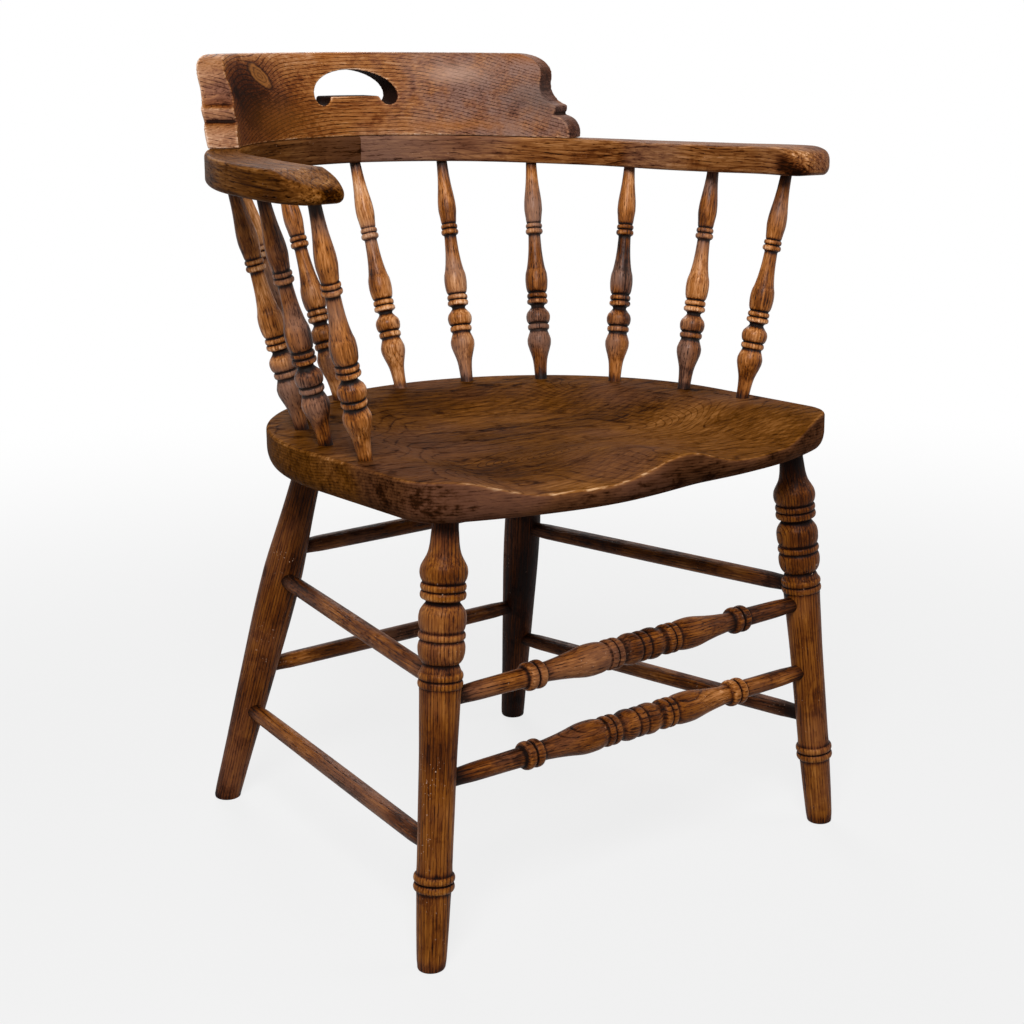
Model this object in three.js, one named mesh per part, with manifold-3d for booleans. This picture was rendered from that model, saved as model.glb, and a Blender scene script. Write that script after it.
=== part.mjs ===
// A low-backed captain's chair: a dished plank seat on four splayed legs with turned
// stretchers, an arm bow sawn in two halves on eleven turned spindles, and a scooped
// crest rail with a hand-hold on top of the bow.
// Millimetres, +Z up. The front faces -Y, and left and right are as seen from the front,
// with right at +X.

import * as THREE from 'three';
import { mergeVertices } from 'three/addons/utils/BufferGeometryUtils.js';
import Module from 'manifold-3d';

const wasm = await Module();
wasm.setup();

const { degToRad, lerp, smoothstep } = THREE.MathUtils;

// Fits shared by every joint
const clearance = 0.3;          // between a tenon and its socket, and between resting faces
const overrun = 6;              // how far a cut runs past the face that it opens

// Seat plank
const seatTop = 438;            // height of the flat margin that carries the spindles
const seatThickness = 38;
const seatHalfWidth = 252.5;
const seatBackCentreY = -62;    // where the straight sides end and the round back starts
const seatBackReach = 249;      // from there to the back edge
const seatLeftShoulderShare = 0.61;   // fullness of the outline's back quarters, where
const seatRightShoulderShare = 0.555; // 0.55 is a plain round
const seatFrontY = -285;        // foremost point of the bowed front edge
const seatFrontRadius = 570;
const seatCornerRadius = 45;
const seatEdgeRound = 4;        // worn arris at the front and sides
const seatBackRound = 8;        // the same at the back
const seatBottomRound = 5;
const sideUndercut = 14;        // how far the edge slopes in under the sides
const backUndercut = 8;
const pommelUndercut = 23;      // added to the side undercut near the middle of the front
const pommelUndercutX = 55;     // where it is deepest
const pommelUndercutWidth = 90;
const dishDepth = 18;
const dishMargin = 53;          // flat margin behind and beside the dish
const dishFrontMargin = 12;     // the same at the front edge, where the dish runs out
const dishSlope = 95;           // width of the slope from margin to full depth
const pommelWidth = 48;
const pommelBackY = -90;        // where the ridge between the thighs starts to rise
const dishRingShares = [0.95, 0.89, 0.82, 0.74, 0.64, 0.52, 0.37, 0.19];
const seatOutlineSteps = 26;    // points on each half of the outline

// Legs, by the places of their axes on the floor and at the seat's underside
const frontFoot = new THREE.Vector3(250, -228, 0);
const frontLegTop = new THREE.Vector3(212, -210, seatTop - seatThickness);
const rearFoot = new THREE.Vector3(198, 228, 0);
const rearLegTop = new THREE.Vector3(139, 117, seatTop - seatThickness);
const frontLegRadius = 21;      // the widest bead
const frontTenonRadius = 11.6;
const rearLegRadius = 20.5;     // the widest part of the swell
const rearTenonRadius = 14.2;
const legTenonShare = 0.42;     // depth of a leg's tenon as a share of the seat's thickness
const legNeckShare = 0.97;      // where along a leg its tenon starts
const legSides = 12;

// Stretchers, by the heights of their ends on the leg axes
const frontUpperHeight = 241;
const frontLowerHeight = 168;
const sideUpperHeight = 257.5;
const leftLowerFrontHeight = 109.5; // the lower side stretchers were bored by eye
const leftLowerRearHeight = 107.5;
const rightLowerFrontHeight = 117;
const rightLowerRearHeight = 110.5;
const rearUpperHeight = 288;
const rearLowerHeight = 154;
const stretcherRadius = 8.6;
const stretcherEndRadius = 7.8;
const stretcherEndLength = 40;  // how far the taper to the tenon reaches
const stretcherStop = 4;        // a tenon ends this far short of the leg's axis
const turnedHalfLength = 141;   // from the middle of a front stretcher to its outer collar
const turnedRadius = 15.4;
const upperTurningShift = 4.5;  // how far the turning stands off the stretcher's middle
const lowerTurningShift = -1.5;
const stretcherSides = 10;

// Arm bow, a level board pitched up towards the back
const bowHeight = 668.5;        // its underside above the floor, over the origin
const bowPitch = 1.42;          // degrees
const bowThickness = 28;
const bowBackRadius = 265.4;    // of the line that the spindles stand on
const bowCentreY = -25.7;
const bowJoinAngle = 22.3;      // degrees from +X, where the side arcs take over
const bowSideRadius = 491.6;
const bowBackInner = 12.5;      // from the spindle line to the inner edge, behind the sitter
const bowBackOuter = 21;
const bowArmInner = 26;         // the same along the arms
const bowArmOuter = 29;
const bowWidenStart = 270;      // along the line from the back, where the arm starts to widen
const bowWidenEnd = 410;
const bowEdge = 3.5;            // chamfer along its edges
const leftTipReach = 27;        // past the foremost spindle, less than on the right through wear
const leftTipLength = 44;       // over which the end is rounded
const leftTipDrop = 17;         // fall of its top
const rightTipReach = 46;
const rightTipLength = 30;
const rightTipDrop = 10;
const tipLift = 4;              // how far the underside rises at the end
const tipBlunt = 5;             // half width of the blunt nose

// Spindles
const footLineRadius = 223.9;   // of the line of their feet on the seat
const footLineCentreY = -61.4;
const footLineJoinAngle = 8.1;
const footLineSideRadius = 1208;
const footLineLength = 410;     // along it, from the back to the foremost spindle
const topLineLength = 523;      // the same along the bow
const leftFootShares = [0.225, 0.4015, 0.608, 0.806, 0.995]; // of these, from the back to the front
const rightFootShares = [0.195, 0.396, 0.598, 0.8125, 1.0075];
const leftTopShares = [0.211, 0.405, 0.622, 0.8185, 1];
const rightTopShares = [0.198, 0.389, 0.6075, 0.809, 1];
const spindleRadius = 13.1;     // the widest bead
const spindleFootRadius = 6.6;
const spindleTopRadius = 5.8;
const spindleTenonShare = 0.36; // depth in the seat as a share of its thickness
const spindleTopTenonShare = 0.6;
const spindleNeckShare = 0.95;  // where along a spindle its top tenon starts
const spindleSides = 8;

// Crest rail
const crestHeight = 87;
const crestEndAngle = 24;       // degrees from +X, the direction in which its ends are sawn
const crestEndX = 207.9;        // inner bottom corner of an end
const crestEndY = 122.4;
const crestRightTrim = 4;       // its right end is this much shorter
const crestSetback = 10.1;      // from the spindle line in to the foot of the face behind the sitter
const crestThickness = 29.3;    // at its foot
const crestInnerLean = 24;      // how far the inner face leans back over its height
const crestOuterLean = 16.5;
const crestInnerLeanShares = [[0, 0], [0.22, 0.1], [0.5, 0.36], [0.75, 0.68], [0.95, 0.96], [1, 1.14]];
const crestOuterLeanShares = [[1, 0.9], [0.95, 1], [0.72, 0.8], [0.45, 0.5], [0, 0]];
const crestSpanAngle = 62;      // degrees each side of the back, past the sawn ends
const crestSteps = 26;
const ovoloRadius = 21;         // end outline, from the bottom up: a quarter round,
const ovoloRise = 2.5;
const noseDepth = 2.5;          // a small nose over it,
const noseHeight = 8;
const coveRun = 19.5;           // a hollow,
const coveRise = 21;
const coveSag = 3.2;
const crestCornerRun = 36;      // and a round top corner
const crestCornerRise = 25;
const handHoldHalfWidth = 52.7;
const handHoldBase = 43.5;      // above the bow's top
const handHoldRise = 25.5;
const handHoldLobeRadius = 11;

// Screws from the bow's underside into the crest rail
const screwStationShares = [0.1, 0.295, 0.43]; // of the length of the line along the bow
const screwOffset = 4;          // outwards from the spindle line
const screwHeadRadius = 4.2;
const screwHeadHeight = 3;
const screwShankRadius = 2.2;
const screwBite = 26;           // length in the crest rail
const screwRecess = 4;          // the head lies this deep in its hole
const screwSides = 10;

// Finishes
const seatElm = new THREE.MeshStandardMaterial({ color: 0x4a2f1b, roughness: 0.5, metalness: 0 });
const bowElm = new THREE.MeshStandardMaterial({ color: 0x6a4424, roughness: 0.48, metalness: 0 });
const crestElm = new THREE.MeshStandardMaterial({ color: 0x6e4527, roughness: 0.45, metalness: 0 });
const spindleAsh = new THREE.MeshStandardMaterial({ color: 0x7c4c22, roughness: 0.45, metalness: 0 });
const legAsh = new THREE.MeshStandardMaterial({ color: 0x5f3a1d, roughness: 0.5, metalness: 0 });
const stretcherAsh = new THREE.MeshStandardMaterial({ color: 0x563620, roughness: 0.5, metalness: 0 });
const steel = new THREE.MeshStandardMaterial({ color: 0x4a4744, roughness: 0.5, metalness: 0.9 });

// Solids and cuts

function toSolid(geometry) {
  const bare = geometry.clone();
  bare.deleteAttribute('normal');
  bare.deleteAttribute('uv');
  const welded = mergeVertices(bare);
  return new wasm.Manifold(new wasm.Mesh({
    numProp: 3,
    vertProperties: new Float32Array(welded.attributes.position.array),
    triVerts: new Uint32Array(welded.index.array),
  }));
}

function toGeometry(solid) {
  const { vertProperties, triVerts } = solid.getMesh();
  const geometry = new THREE.BufferGeometry();
  geometry.setAttribute('position', new THREE.BufferAttribute(new Float32Array(vertProperties), 3));
  geometry.setIndex(new THREE.BufferAttribute(new Uint32Array(triVerts), 1));
  return geometry;
}

// Takes the cutters, meshes placed in the chair's frame, out of a placed mesh
function cut(mesh, cutters) {
  mesh.updateWorldMatrix(true, false);
  const toLocal = mesh.matrixWorld.clone().invert();
  let solid = toSolid(mesh.geometry);
  for (const cutter of cutters) {
    cutter.updateWorldMatrix(true, false);
    const moved = toLocal.clone().multiply(cutter.matrixWorld);
    solid = solid.subtract(toSolid(cutter.geometry.clone().applyMatrix4(moved)));
  }
  mesh.geometry = toGeometry(solid);
}

// A closed skin over rings of points, each ring counter-clockwise seen from the last one
function loft(rings) {
  const count = rings[0].length;
  const points = rings.flat();
  const index = [];
  for (let r = 0; r + 1 < rings.length; r += 1) {
    for (let i = 0; i < count; i += 1) {
      const a = r * count + i;
      const b = r * count + (i + 1) % count;
      index.push(a, b, b + count, a, b + count, a + count);
    }
  }
  for (const [ring, last] of [[rings[0], false], [rings[rings.length - 1], true]]) {
    const start = last ? (rings.length - 1) * count : 0;
    const middle = points.length;
    points.push(ring.reduce((sum, p) => sum.add(p), new THREE.Vector3()).divideScalar(count));
    for (let i = 0; i < count; i += 1) {
      const a = start + i;
      const b = start + (i + 1) % count;
      index.push(middle, ...(last ? [a, b] : [b, a]));
    }
  }
  const geometry = new THREE.BufferGeometry().setFromPoints(points);
  geometry.setIndex(index);
  return geometry;
}

// A turned piece along +Y from a profile of [distance, radius], closed on its axis
function turned(profile, sides) {
  const points = profile.map(([along, radius]) => new THREE.Vector2(radius, along));
  points.unshift(new THREE.Vector2(0, points[0].y));
  points.push(new THREE.Vector2(0, points[points.length - 1].y));
  return new THREE.LatheGeometry(points, sides);
}

// Lays a mesh that was made along +Y from one point towards another
function layAlong(mesh, from, to) {
  const direction = to.clone().sub(from).normalize();
  mesh.position.copy(from);
  mesh.quaternion.setFromUnitVectors(new THREE.Vector3(0, 1, 0), direction);
  return mesh;
}

// A straight hole round a turned piece's tenon, between two distances along the piece
function socketCutter(piece, start, end, radius, sides) {
  const profile = [[start, radius + clearance], [end, radius + clearance]];
  const cutter = new THREE.Mesh(turned(profile, sides));
  cutter.position.copy(piece.position);
  cutter.quaternion.copy(piece.quaternion);
  return cutter;
}

function alongLine(from, to, distance) {
  return from.clone().addScaledVector(to.clone().sub(from).normalize(), distance);
}

// The point and outward direction at a distance from the back along a line of two arcs
function arcLine(distance, backRadius, centreY, joinAngle, sideRadius) {
  const join = degToRad(joinAngle);
  const backLength = backRadius * (Math.PI / 2 - join);
  const onSide = distance > backLength;
  const radius = onSide ? sideRadius : backRadius;
  const angle = onSide ? join - (distance - backLength) / sideRadius : Math.PI / 2 - distance / backRadius;
  const inset = onSide ? backRadius - sideRadius : 0;
  const out = new THREE.Vector2(Math.cos(angle), Math.sin(angle));
  const centre = new THREE.Vector2(inset * Math.cos(join), centreY + inset * Math.sin(join));
  return { point: centre.addScaledVector(out, radius), out };
}

const bowLine = (distance) => arcLine(distance, bowBackRadius, bowCentreY, bowJoinAngle, bowSideRadius);
const footLine = (distance) => arcLine(
  distance, footLineRadius, footLineCentreY, footLineJoinAngle, footLineSideRadius);

// The chair, and the bow's own frame with its zero on the bow's underside
const chair = new THREE.Group();
const bow = new THREE.Group();
bow.position.set(0, 0, bowHeight);
bow.rotation.x = degToRad(bowPitch);
chair.add(bow);

function addPiece(parent, name, geometry, material) {
  const mesh = new THREE.Mesh(geometry, material);
  mesh.name = name;
  parent.add(mesh);
  return mesh;
}

// Legs

const seatUnderside = seatTop - seatThickness;
const legTenonLength = seatThickness * legTenonShare;

// Shares of the length from the floor to the seat, and of the widest radius
const frontTurningShares = [
  [0, 0.58], [0.03, 0.65], [0.178, 0.735], [0.183, 0.86], [0.197, 0.83], [0.211, 0.87],
  [0.217, 0.76], [0.35, 0.775], [0.52, 0.825], [0.633, 0.87], [0.64, 0.94], [0.65, 0.9],
  [0.66, 0.95], [0.684, 0.738], [0.7, 0.9], [0.721, 0.99], [0.736, 0.93], [0.747, 0.99],
  [0.757, 0.925], [0.786, 0.995], [0.806, 0.83], [0.818, 0.7], [0.828, 0.9], [0.845, 0.88],
  [0.858, 0.965], [0.865, 0.895], [0.885, 1], [0.905, 0.92], [0.925, 0.7], [0.95, 0.6],
];
const rearTurningShares = [
  [0, 0.655], [0.024, 0.68], [0.17, 0.755], [0.29, 0.835], [0.41, 0.912], [0.55, 0.99], [0.625, 1],
  [0.68, 0.975], [0.76, 0.883], [0.83, 0.79], [0.88, 0.725],
];

// A leg runs on past the floor before its foot is sawn level, and on into the seat as its tenon
function legGeometry(shares, length, radius, tenonRadius) {
  const profile = shares.map(([along, width]) => [length * along, radius * width]);
  profile[0][0] = -radius;
  profile.push([length * legNeckShare, tenonRadius], [length + legTenonLength, tenonRadius]);
  return turned(profile, legSides);
}

const floorCutter = new THREE.Mesh(new THREE.BoxGeometry(
  3 * seatHalfWidth, 3 * seatHalfWidth, 3 * frontLegRadius));
floorCutter.position.z = -1.5 * frontLegRadius;

const mirrored = (point, side) => new THREE.Vector3(point.x * side, point.y, point.z);
const legs = {};
const legSockets = [];
for (const [sideName, side] of [['left', -1], ['right', 1]]) {
  const kinds = [
    ['front', frontFoot, frontLegTop, frontTurningShares, frontLegRadius, frontTenonRadius],
    ['rear', rearFoot, rearLegTop, rearTurningShares, rearLegRadius, rearTenonRadius],
  ];
  for (const [end, footPlace, topPlace, shares, radius, tenonRadius] of kinds) {
    const foot = mirrored(footPlace, side);
    const top = mirrored(topPlace, side);
    const length = foot.distanceTo(top);
    const geometry = legGeometry(shares, length, radius, tenonRadius);
    const mesh = layAlong(addPiece(chair, `${end}_leg_${sideName}`, geometry, legAsh), foot, top);
    legs[`${end}_${sideName}`] = { mesh, foot, top, cutters: [floorCutter] };
    const holeEnd = length + legTenonLength + clearance;
    legSockets.push(socketCutter(mesh, length - overrun, holeEnd, tenonRadius, legSides));
  }
}

// Stretchers

// Shares of the turned half length from the middle, and of the widest radius
const stretcherTurningShares = [
  [0, 0.94], [0.03, 0.94], [0.038, 0.89], [0.1, 1], [0.145, 0.94], [0.175, 0.82], [0.207, 0.945],
  [0.25, 0.93], [0.258, 0.88], [0.266, 0.93], [0.3, 0.94], [0.32, 0.86], [0.36, 0.94],
  [0.433, 1], [0.5, 0.965], [0.6, 0.83], [0.72, 0.68], [0.86, 0.6], [0.885, 0.84],
  [0.943, 0.81], [0.99, 0.83], [1, 0.57],
];

function legPoint(leg, height) {
  return leg.foot.clone().lerp(leg.top, height / seatUnderside);
}

const plainMiddle = [[0, stretcherRadius]];

function turnedMiddle(shift) {
  const half = stretcherTurningShares.map(
    ([along, width]) => [turnedHalfLength * along, turnedRadius * width]);
  const otherHalf = half.slice(1).reverse().map(([along, radius]) => [-along, radius]);
  return [...otherHalf, ...half].map(([along, radius]) => [along + shift, radius]);
}

function stretcherGeometry(halfLength, middle) {
  const taper = [
    [halfLength - stretcherEndLength, stretcherRadius],
    [halfLength - stretcherEndLength / 2, stretcherEndRadius],
    [halfLength, stretcherEndRadius],
  ];
  const otherTaper = taper.slice().reverse().map(([along, radius]) => [-along, radius]);
  return turned([...otherTaper, ...middle, ...taper], stretcherSides);
}

function addStretcher(name, legA, heightA, legB, heightB, profile = plainMiddle) {
  const axisA = legPoint(legA, heightA);
  const axisB = legPoint(legB, heightB);
  const start = alongLine(axisA, axisB, stretcherStop);
  const end = alongLine(axisB, axisA, stretcherStop);
  const middle = start.clone().lerp(end, 0.5);
  const halfLength = start.distanceTo(end) / 2;
  const geometry = stretcherGeometry(halfLength, profile);
  const mesh = layAlong(addPiece(chair, name, geometry, stretcherAsh), middle, end);
  const holeStart = halfLength - stretcherEndLength / 2;
  const holeEnd = halfLength + clearance;
  legA.cutters.push(socketCutter(mesh, -holeEnd, -holeStart, stretcherEndRadius, stretcherSides));
  legB.cutters.push(socketCutter(mesh, holeStart, holeEnd, stretcherEndRadius, stretcherSides));
}

const { front_left: frontLeft, front_right: frontRight, rear_left: rearLeft, rear_right: rearRight } = legs;
addStretcher(
  'front_stretcher_upper', frontLeft, frontUpperHeight, frontRight, frontUpperHeight,
  turnedMiddle(upperTurningShift));
addStretcher(
  'front_stretcher_lower', frontLeft, frontLowerHeight, frontRight, frontLowerHeight,
  turnedMiddle(lowerTurningShift));
addStretcher('rear_stretcher_upper', rearLeft, rearUpperHeight, rearRight, rearUpperHeight);
addStretcher('rear_stretcher_lower', rearLeft, rearLowerHeight, rearRight, rearLowerHeight);
addStretcher('side_stretcher_upper_left', frontLeft, sideUpperHeight, rearLeft, sideUpperHeight);
addStretcher('side_stretcher_upper_right', frontRight, sideUpperHeight, rearRight, sideUpperHeight);
addStretcher(
  'side_stretcher_lower_left', frontLeft, leftLowerFrontHeight, rearLeft, leftLowerRearHeight);
addStretcher(
  'side_stretcher_lower_right', frontRight, rightLowerFrontHeight, rearRight, rightLowerRearHeight);
for (const leg of Object.values(legs)) {
  cut(leg.mesh, leg.cutters);
}

// Spindles

// Shares of the length between seat and bow, and of the widest radius
const spindleTurningShares = [
  [0.04, 0.504], [0.085, 0.61], [0.136, 0.878], [0.17, 0.995], [0.216, 0.79], [0.222, 0.886],
  [0.245, 0.886], [0.28, 1], [0.3, 0.91], [0.322, 0.56], [0.34, 0.863], [0.36, 0.8],
  [0.38, 0.84], [0.39, 0.76], [0.44, 0.94], [0.5, 0.78], [0.57, 0.59], [0.655, 0.51],
  [0.664, 0.71], [0.7, 0.687], [0.708, 0.6], [0.775, 0.763], [0.83, 0.687], [0.88, 0.56],
];

const spindleTenonLength = seatThickness * spindleTenonShare;
const spindleTopTenonLength = bowThickness * spindleTopTenonShare;
const spindleSockets = [];
const spindleTopSockets = [];

function spindleGeometry(length) {
  const profile = spindleTurningShares.map(([along, width]) => [length * along, spindleRadius * width]);
  profile.unshift([-spindleTenonLength, spindleFootRadius]);
  profile.push(
    [length * spindleNeckShare, spindleTopRadius],
    [length + spindleTopTenonLength, spindleTopRadius]);
  return turned(profile, spindleSides);
}

function addSpindle(name, footDistance, topDistance, side) {
  const footPlace = footLine(footDistance).point;
  const topPlace = bowLine(topDistance).point;
  const foot = new THREE.Vector3(footPlace.x * side, footPlace.y, seatTop);
  const top = bow.localToWorld(new THREE.Vector3(topPlace.x * side, topPlace.y, 0));
  const length = foot.distanceTo(top);
  const mesh = layAlong(addPiece(chair, name, spindleGeometry(length), spindleAsh), foot, top);
  const footEnd = -spindleTenonLength - clearance;
  const topEnd = length + spindleTopTenonLength + clearance;
  spindleSockets.push(socketCutter(mesh, footEnd, overrun, spindleFootRadius, spindleSides));
  spindleTopSockets.push(socketCutter(mesh, length - overrun, topEnd, spindleTopRadius, spindleSides));
}

bow.updateWorldMatrix(true, false);
addSpindle('spindle_centre', 0, 0, 1);
const spindleRows = [
  ['left', -1, leftFootShares, leftTopShares],
  ['right', 1, rightFootShares, rightTopShares],
];
for (const [sideName, side, footShares, topShares] of spindleRows) {
  footShares.forEach((share, i) => {
    const footDistance = footLineLength * share;
    const topDistance = topLineLength * topShares[i];
    addSpindle(`spindle_${sideName}_${i + 1}`, footDistance, topDistance, side);
  });
}

// Seat

function dishedHeight(x, y) {
  const forward = Math.max(0, (seatBackCentreY - y) / (seatBackCentreY - seatFrontY));
  const edge = seatHalfWidth - lerp(dishMargin, dishFrontMargin, forward);
  const inside = edge - Math.hypot(x, Math.max(0, y - seatBackCentreY));
  const ridge = Math.exp(-((x / pommelWidth) ** 2)) * smoothstep(-y, -pommelBackY, -seatFrontY);
  return seatTop - dishDepth * smoothstep(inside, 0, dishSlope) * (1 - ridge);
}

// One half of the top outline, drawn on the right, from the front middle to the back middle
function seatHalfOutline(shoulderShare) {
  const frontCentreY = seatFrontY + seatFrontRadius;
  const cornerX = seatHalfWidth - seatCornerRadius;
  const cornerDrop = Math.sqrt((seatFrontRadius - seatCornerRadius) ** 2 - cornerX ** 2);
  const cornerStart = Math.atan2(-cornerDrop, cornerX);
  const path = new THREE.Path();
  path.absarc(0, frontCentreY, seatFrontRadius, -Math.PI / 2, cornerStart, false);
  path.absarc(cornerX, frontCentreY - cornerDrop, seatCornerRadius, cornerStart, 0, false);
  const backY = seatBackCentreY + seatBackReach;
  path.lineTo(seatHalfWidth, seatBackCentreY);
  path.bezierCurveTo(
    seatHalfWidth, seatBackCentreY + seatBackReach * shoulderShare,
    seatHalfWidth * shoulderShare, backY, 0, backY);
  return path.getSpacedPoints(seatOutlineSteps);
}

function seatOutline() {
  const left = seatHalfOutline(seatLeftShoulderShare).slice(1, -1).reverse();
  const points = [
    ...seatHalfOutline(seatRightShoulderShare),
    ...left.map((p) => new THREE.Vector2(-p.x, p.y)),
  ];
  return points.map((point, i) => {
    const next = points[(i + 1) % points.length];
    const last = points[(i + points.length - 1) % points.length];
    const out = new THREE.Vector2(next.y - last.y, last.x - next.x).normalize();
    return { point, out };
  });
}

function undercutAt(point, out) {
  const off = (point.x - pommelUndercutX) / pommelUndercutWidth;
  const front = sideUndercut + pommelUndercut * Math.exp(-(off ** 2));
  return out.y < 0 ? lerp(sideUndercut, front, -out.y) : lerp(sideUndercut, backUndercut, out.y);
}

function seatGeometry() {
  const outline = seatOutline();
  const middle = new THREE.Vector2(0, seatBackCentreY);
  const edgeRound = (out) => lerp(seatEdgeRound, seatBackRound, Math.max(0, out.y));
  const ringOf = (inset, height) => outline.map(({ point, out }) => {
    const p = point.clone().addScaledVector(out, -inset(point, out));
    return new THREE.Vector3(p.x, p.y, height(p, out));
  });
  const dishRing = (share) => outline.map(({ point }) => {
    const p = middle.clone().lerp(point, share);
    return new THREE.Vector3(p.x, p.y, dishedHeight(p.x, p.y));
  });
  const rings = [
    ringOf(undercutAt, () => seatUnderside),
    ringOf((p, out) => undercutAt(p, out) - seatBottomRound, () => seatUnderside + seatBottomRound),
    ringOf(() => 0, (p, out) => dishedHeight(p.x, p.y) - edgeRound(out)),
    ringOf((p, out) => edgeRound(out), (p) => dishedHeight(p.x, p.y)),
    ...dishRingShares.map(dishRing),
  ];
  return loft(rings);
}

const seat = addPiece(chair, 'seat', seatGeometry(), seatElm);
cut(seat, [...legSockets, ...spindleSockets]);

// Arm bow, in its own frame

// One section across the right half of the bow, its points inner side first, bottom up
function bowSection(distance, tip) {
  const { point, out } = bowLine(distance);
  const widen = smoothstep(distance, bowWidenStart, bowWidenEnd);
  const past = Math.max(0, (distance - (topLineLength + tip.reach - tip.length)) / tip.length);
  const round = Math.sqrt(Math.max(0, 1 - past ** 2));
  const inner = Math.max(tipBlunt, lerp(bowBackInner, bowArmInner, widen) * round);
  const outer = Math.max(tipBlunt, lerp(bowBackOuter, bowArmOuter, widen) * round);
  const top = bowThickness - tip.drop * past ** 2;
  const bottom = tipLift * (1 - round);
  const edge = Math.min(bowEdge, tipBlunt / 2);
  const corner = lerp(bowEdge, edge, past);
  const outline = [
    [-inner, bottom + corner], [-inner + corner, bottom], [outer - corner, bottom], [outer, bottom + corner],
    [outer, top - corner], [outer - corner, top], [-inner + corner, top], [-inner, top - corner],
  ];
  return outline.map(([across, up]) => new THREE.Vector3(
    point.x + out.x * across, point.y + out.y * across, up));
}

const armTips = {
  left: { reach: leftTipReach, length: leftTipLength, drop: leftTipDrop },
  right: { reach: rightTipReach, length: rightTipLength, drop: rightTipDrop },
};

function armGeometry(tip) {
  const straightShares = [
    0, 0.07, 0.14, 0.21, 0.28, 0.35, 0.42, 0.48, 0.54, 0.6, 0.66, 0.72, 0.79, 0.86, 0.93, 1,
  ];
  const tipShares = [0.25, 0.45, 0.62, 0.76, 0.87, 0.95, 1];
  const start = clearance / 2;
  const armEnd = topLineLength + tip.reach;
  const tipStart = armEnd - tip.length;
  const distances = [
    ...straightShares.map((share) => lerp(start, tipStart, share)),
    ...tipShares.map((share) => lerp(tipStart, armEnd, share)),
  ];
  const rings = distances.map((distance) => bowSection(distance, tip));
  rings[0].forEach((point) => point.setX(start));
  return loft(rings);
}

function mirroredGeometry(geometry) {
  const flipped = geometry.clone().applyMatrix4(new THREE.Matrix4().makeScale(-1, 1, 1));
  const index = Array.from(flipped.index.array);
  for (let i = 0; i < index.length; i += 3) {
    [index[i], index[i + 1]] = [index[i + 1], index[i]];
  }
  flipped.setIndex(index);
  return flipped;
}

const arms = {
  right: addPiece(bow, 'arm_right', armGeometry(armTips.right), bowElm),
  left: addPiece(bow, 'arm_left', mirroredGeometry(armGeometry(armTips.left)), bowElm),
};

// Crest rail, in the bow's frame

const crestInnerRadius = bowBackRadius - crestSetback;
const crestOuterRadius = crestInnerRadius + crestThickness;

function leaning(shares, radius, lean) {
  return shares.map(([up, back]) => [radius + lean * back, crestHeight * up]);
}

function crestPlank() {
  const section = [
    ...leaning(crestInnerLeanShares, crestInnerRadius, crestInnerLean),
    ...leaning(crestOuterLeanShares, crestOuterRadius, crestOuterLean),
  ];
  const rings = [];
  for (let i = 0; i <= crestSteps; i += 1) {
    const angle = degToRad(90 - crestSpanAngle + (2 * crestSpanAngle * i) / crestSteps);
    rings.push(section.map(([radius, up]) => new THREE.Vector3(
      radius * Math.cos(angle), bowCentreY + radius * Math.sin(angle), bowThickness + clearance + up)));
  }
  return loft(rings);
}

// Everything beyond the sawn end, drawn from the end's inner bottom corner with x along the
// rail and y up, and pushed through the rail along the saw's direction
function crestEndCutter(side, trim) {
  const noseX = ovoloRadius - noseDepth;
  const coveStart = ovoloRise + ovoloRadius + noseHeight;
  const coveEndX = noseX + coveRun;
  const coveEnd = coveStart + coveRise;
  const chord = Math.hypot(coveRun, coveRise);
  const coveControl = (2 * coveSag) / chord;
  const cornerX = coveEndX + crestCornerRun;
  const beyond = crestOuterRadius / 2;
  const shape = new THREE.Shape();
  shape.moveTo(-beyond, -overrun);
  shape.lineTo(0, -overrun);
  shape.lineTo(0, ovoloRise);
  shape.absarc(ovoloRadius, ovoloRise, ovoloRadius, Math.PI, Math.PI / 2, true);
  shape.lineTo(noseX, coveStart - noseHeight / 2);
  shape.lineTo(noseX, coveStart);
  shape.quadraticCurveTo(
    noseX + coveRun / 2 + coveControl * coveRise, coveStart + coveRise / 2 - coveControl * coveRun,
    coveEndX, coveEnd);
  shape.lineTo(coveEndX, crestHeight - crestCornerRise);
  shape.absellipse(cornerX, crestHeight - crestCornerRise, crestCornerRun, crestCornerRise,
    Math.PI, Math.PI / 2, true, 0);
  shape.lineTo(cornerX, crestHeight + overrun);
  shape.lineTo(-beyond, crestHeight + overrun);
  const depth = crestThickness + crestOuterLean + 2 * crestInnerLean;
  const geometry = new THREE.ExtrudeGeometry(
    shape, { depth: 2 * depth, bevelEnabled: false, curveSegments: 7 });
  geometry.translate(trim, 0, -depth);
  const saw = degToRad(crestEndAngle);
  const along = new THREE.Vector3(-Math.sin(saw) * side, Math.cos(saw), 0);
  const up = new THREE.Vector3(0, 0, 1);
  const through = along.clone().cross(up);
  geometry.applyMatrix4(new THREE.Matrix4().makeBasis(along, up, through));
  geometry.translate(crestEndX * side, crestEndY, bowThickness + clearance);
  return new THREE.Mesh(geometry);
}

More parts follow.
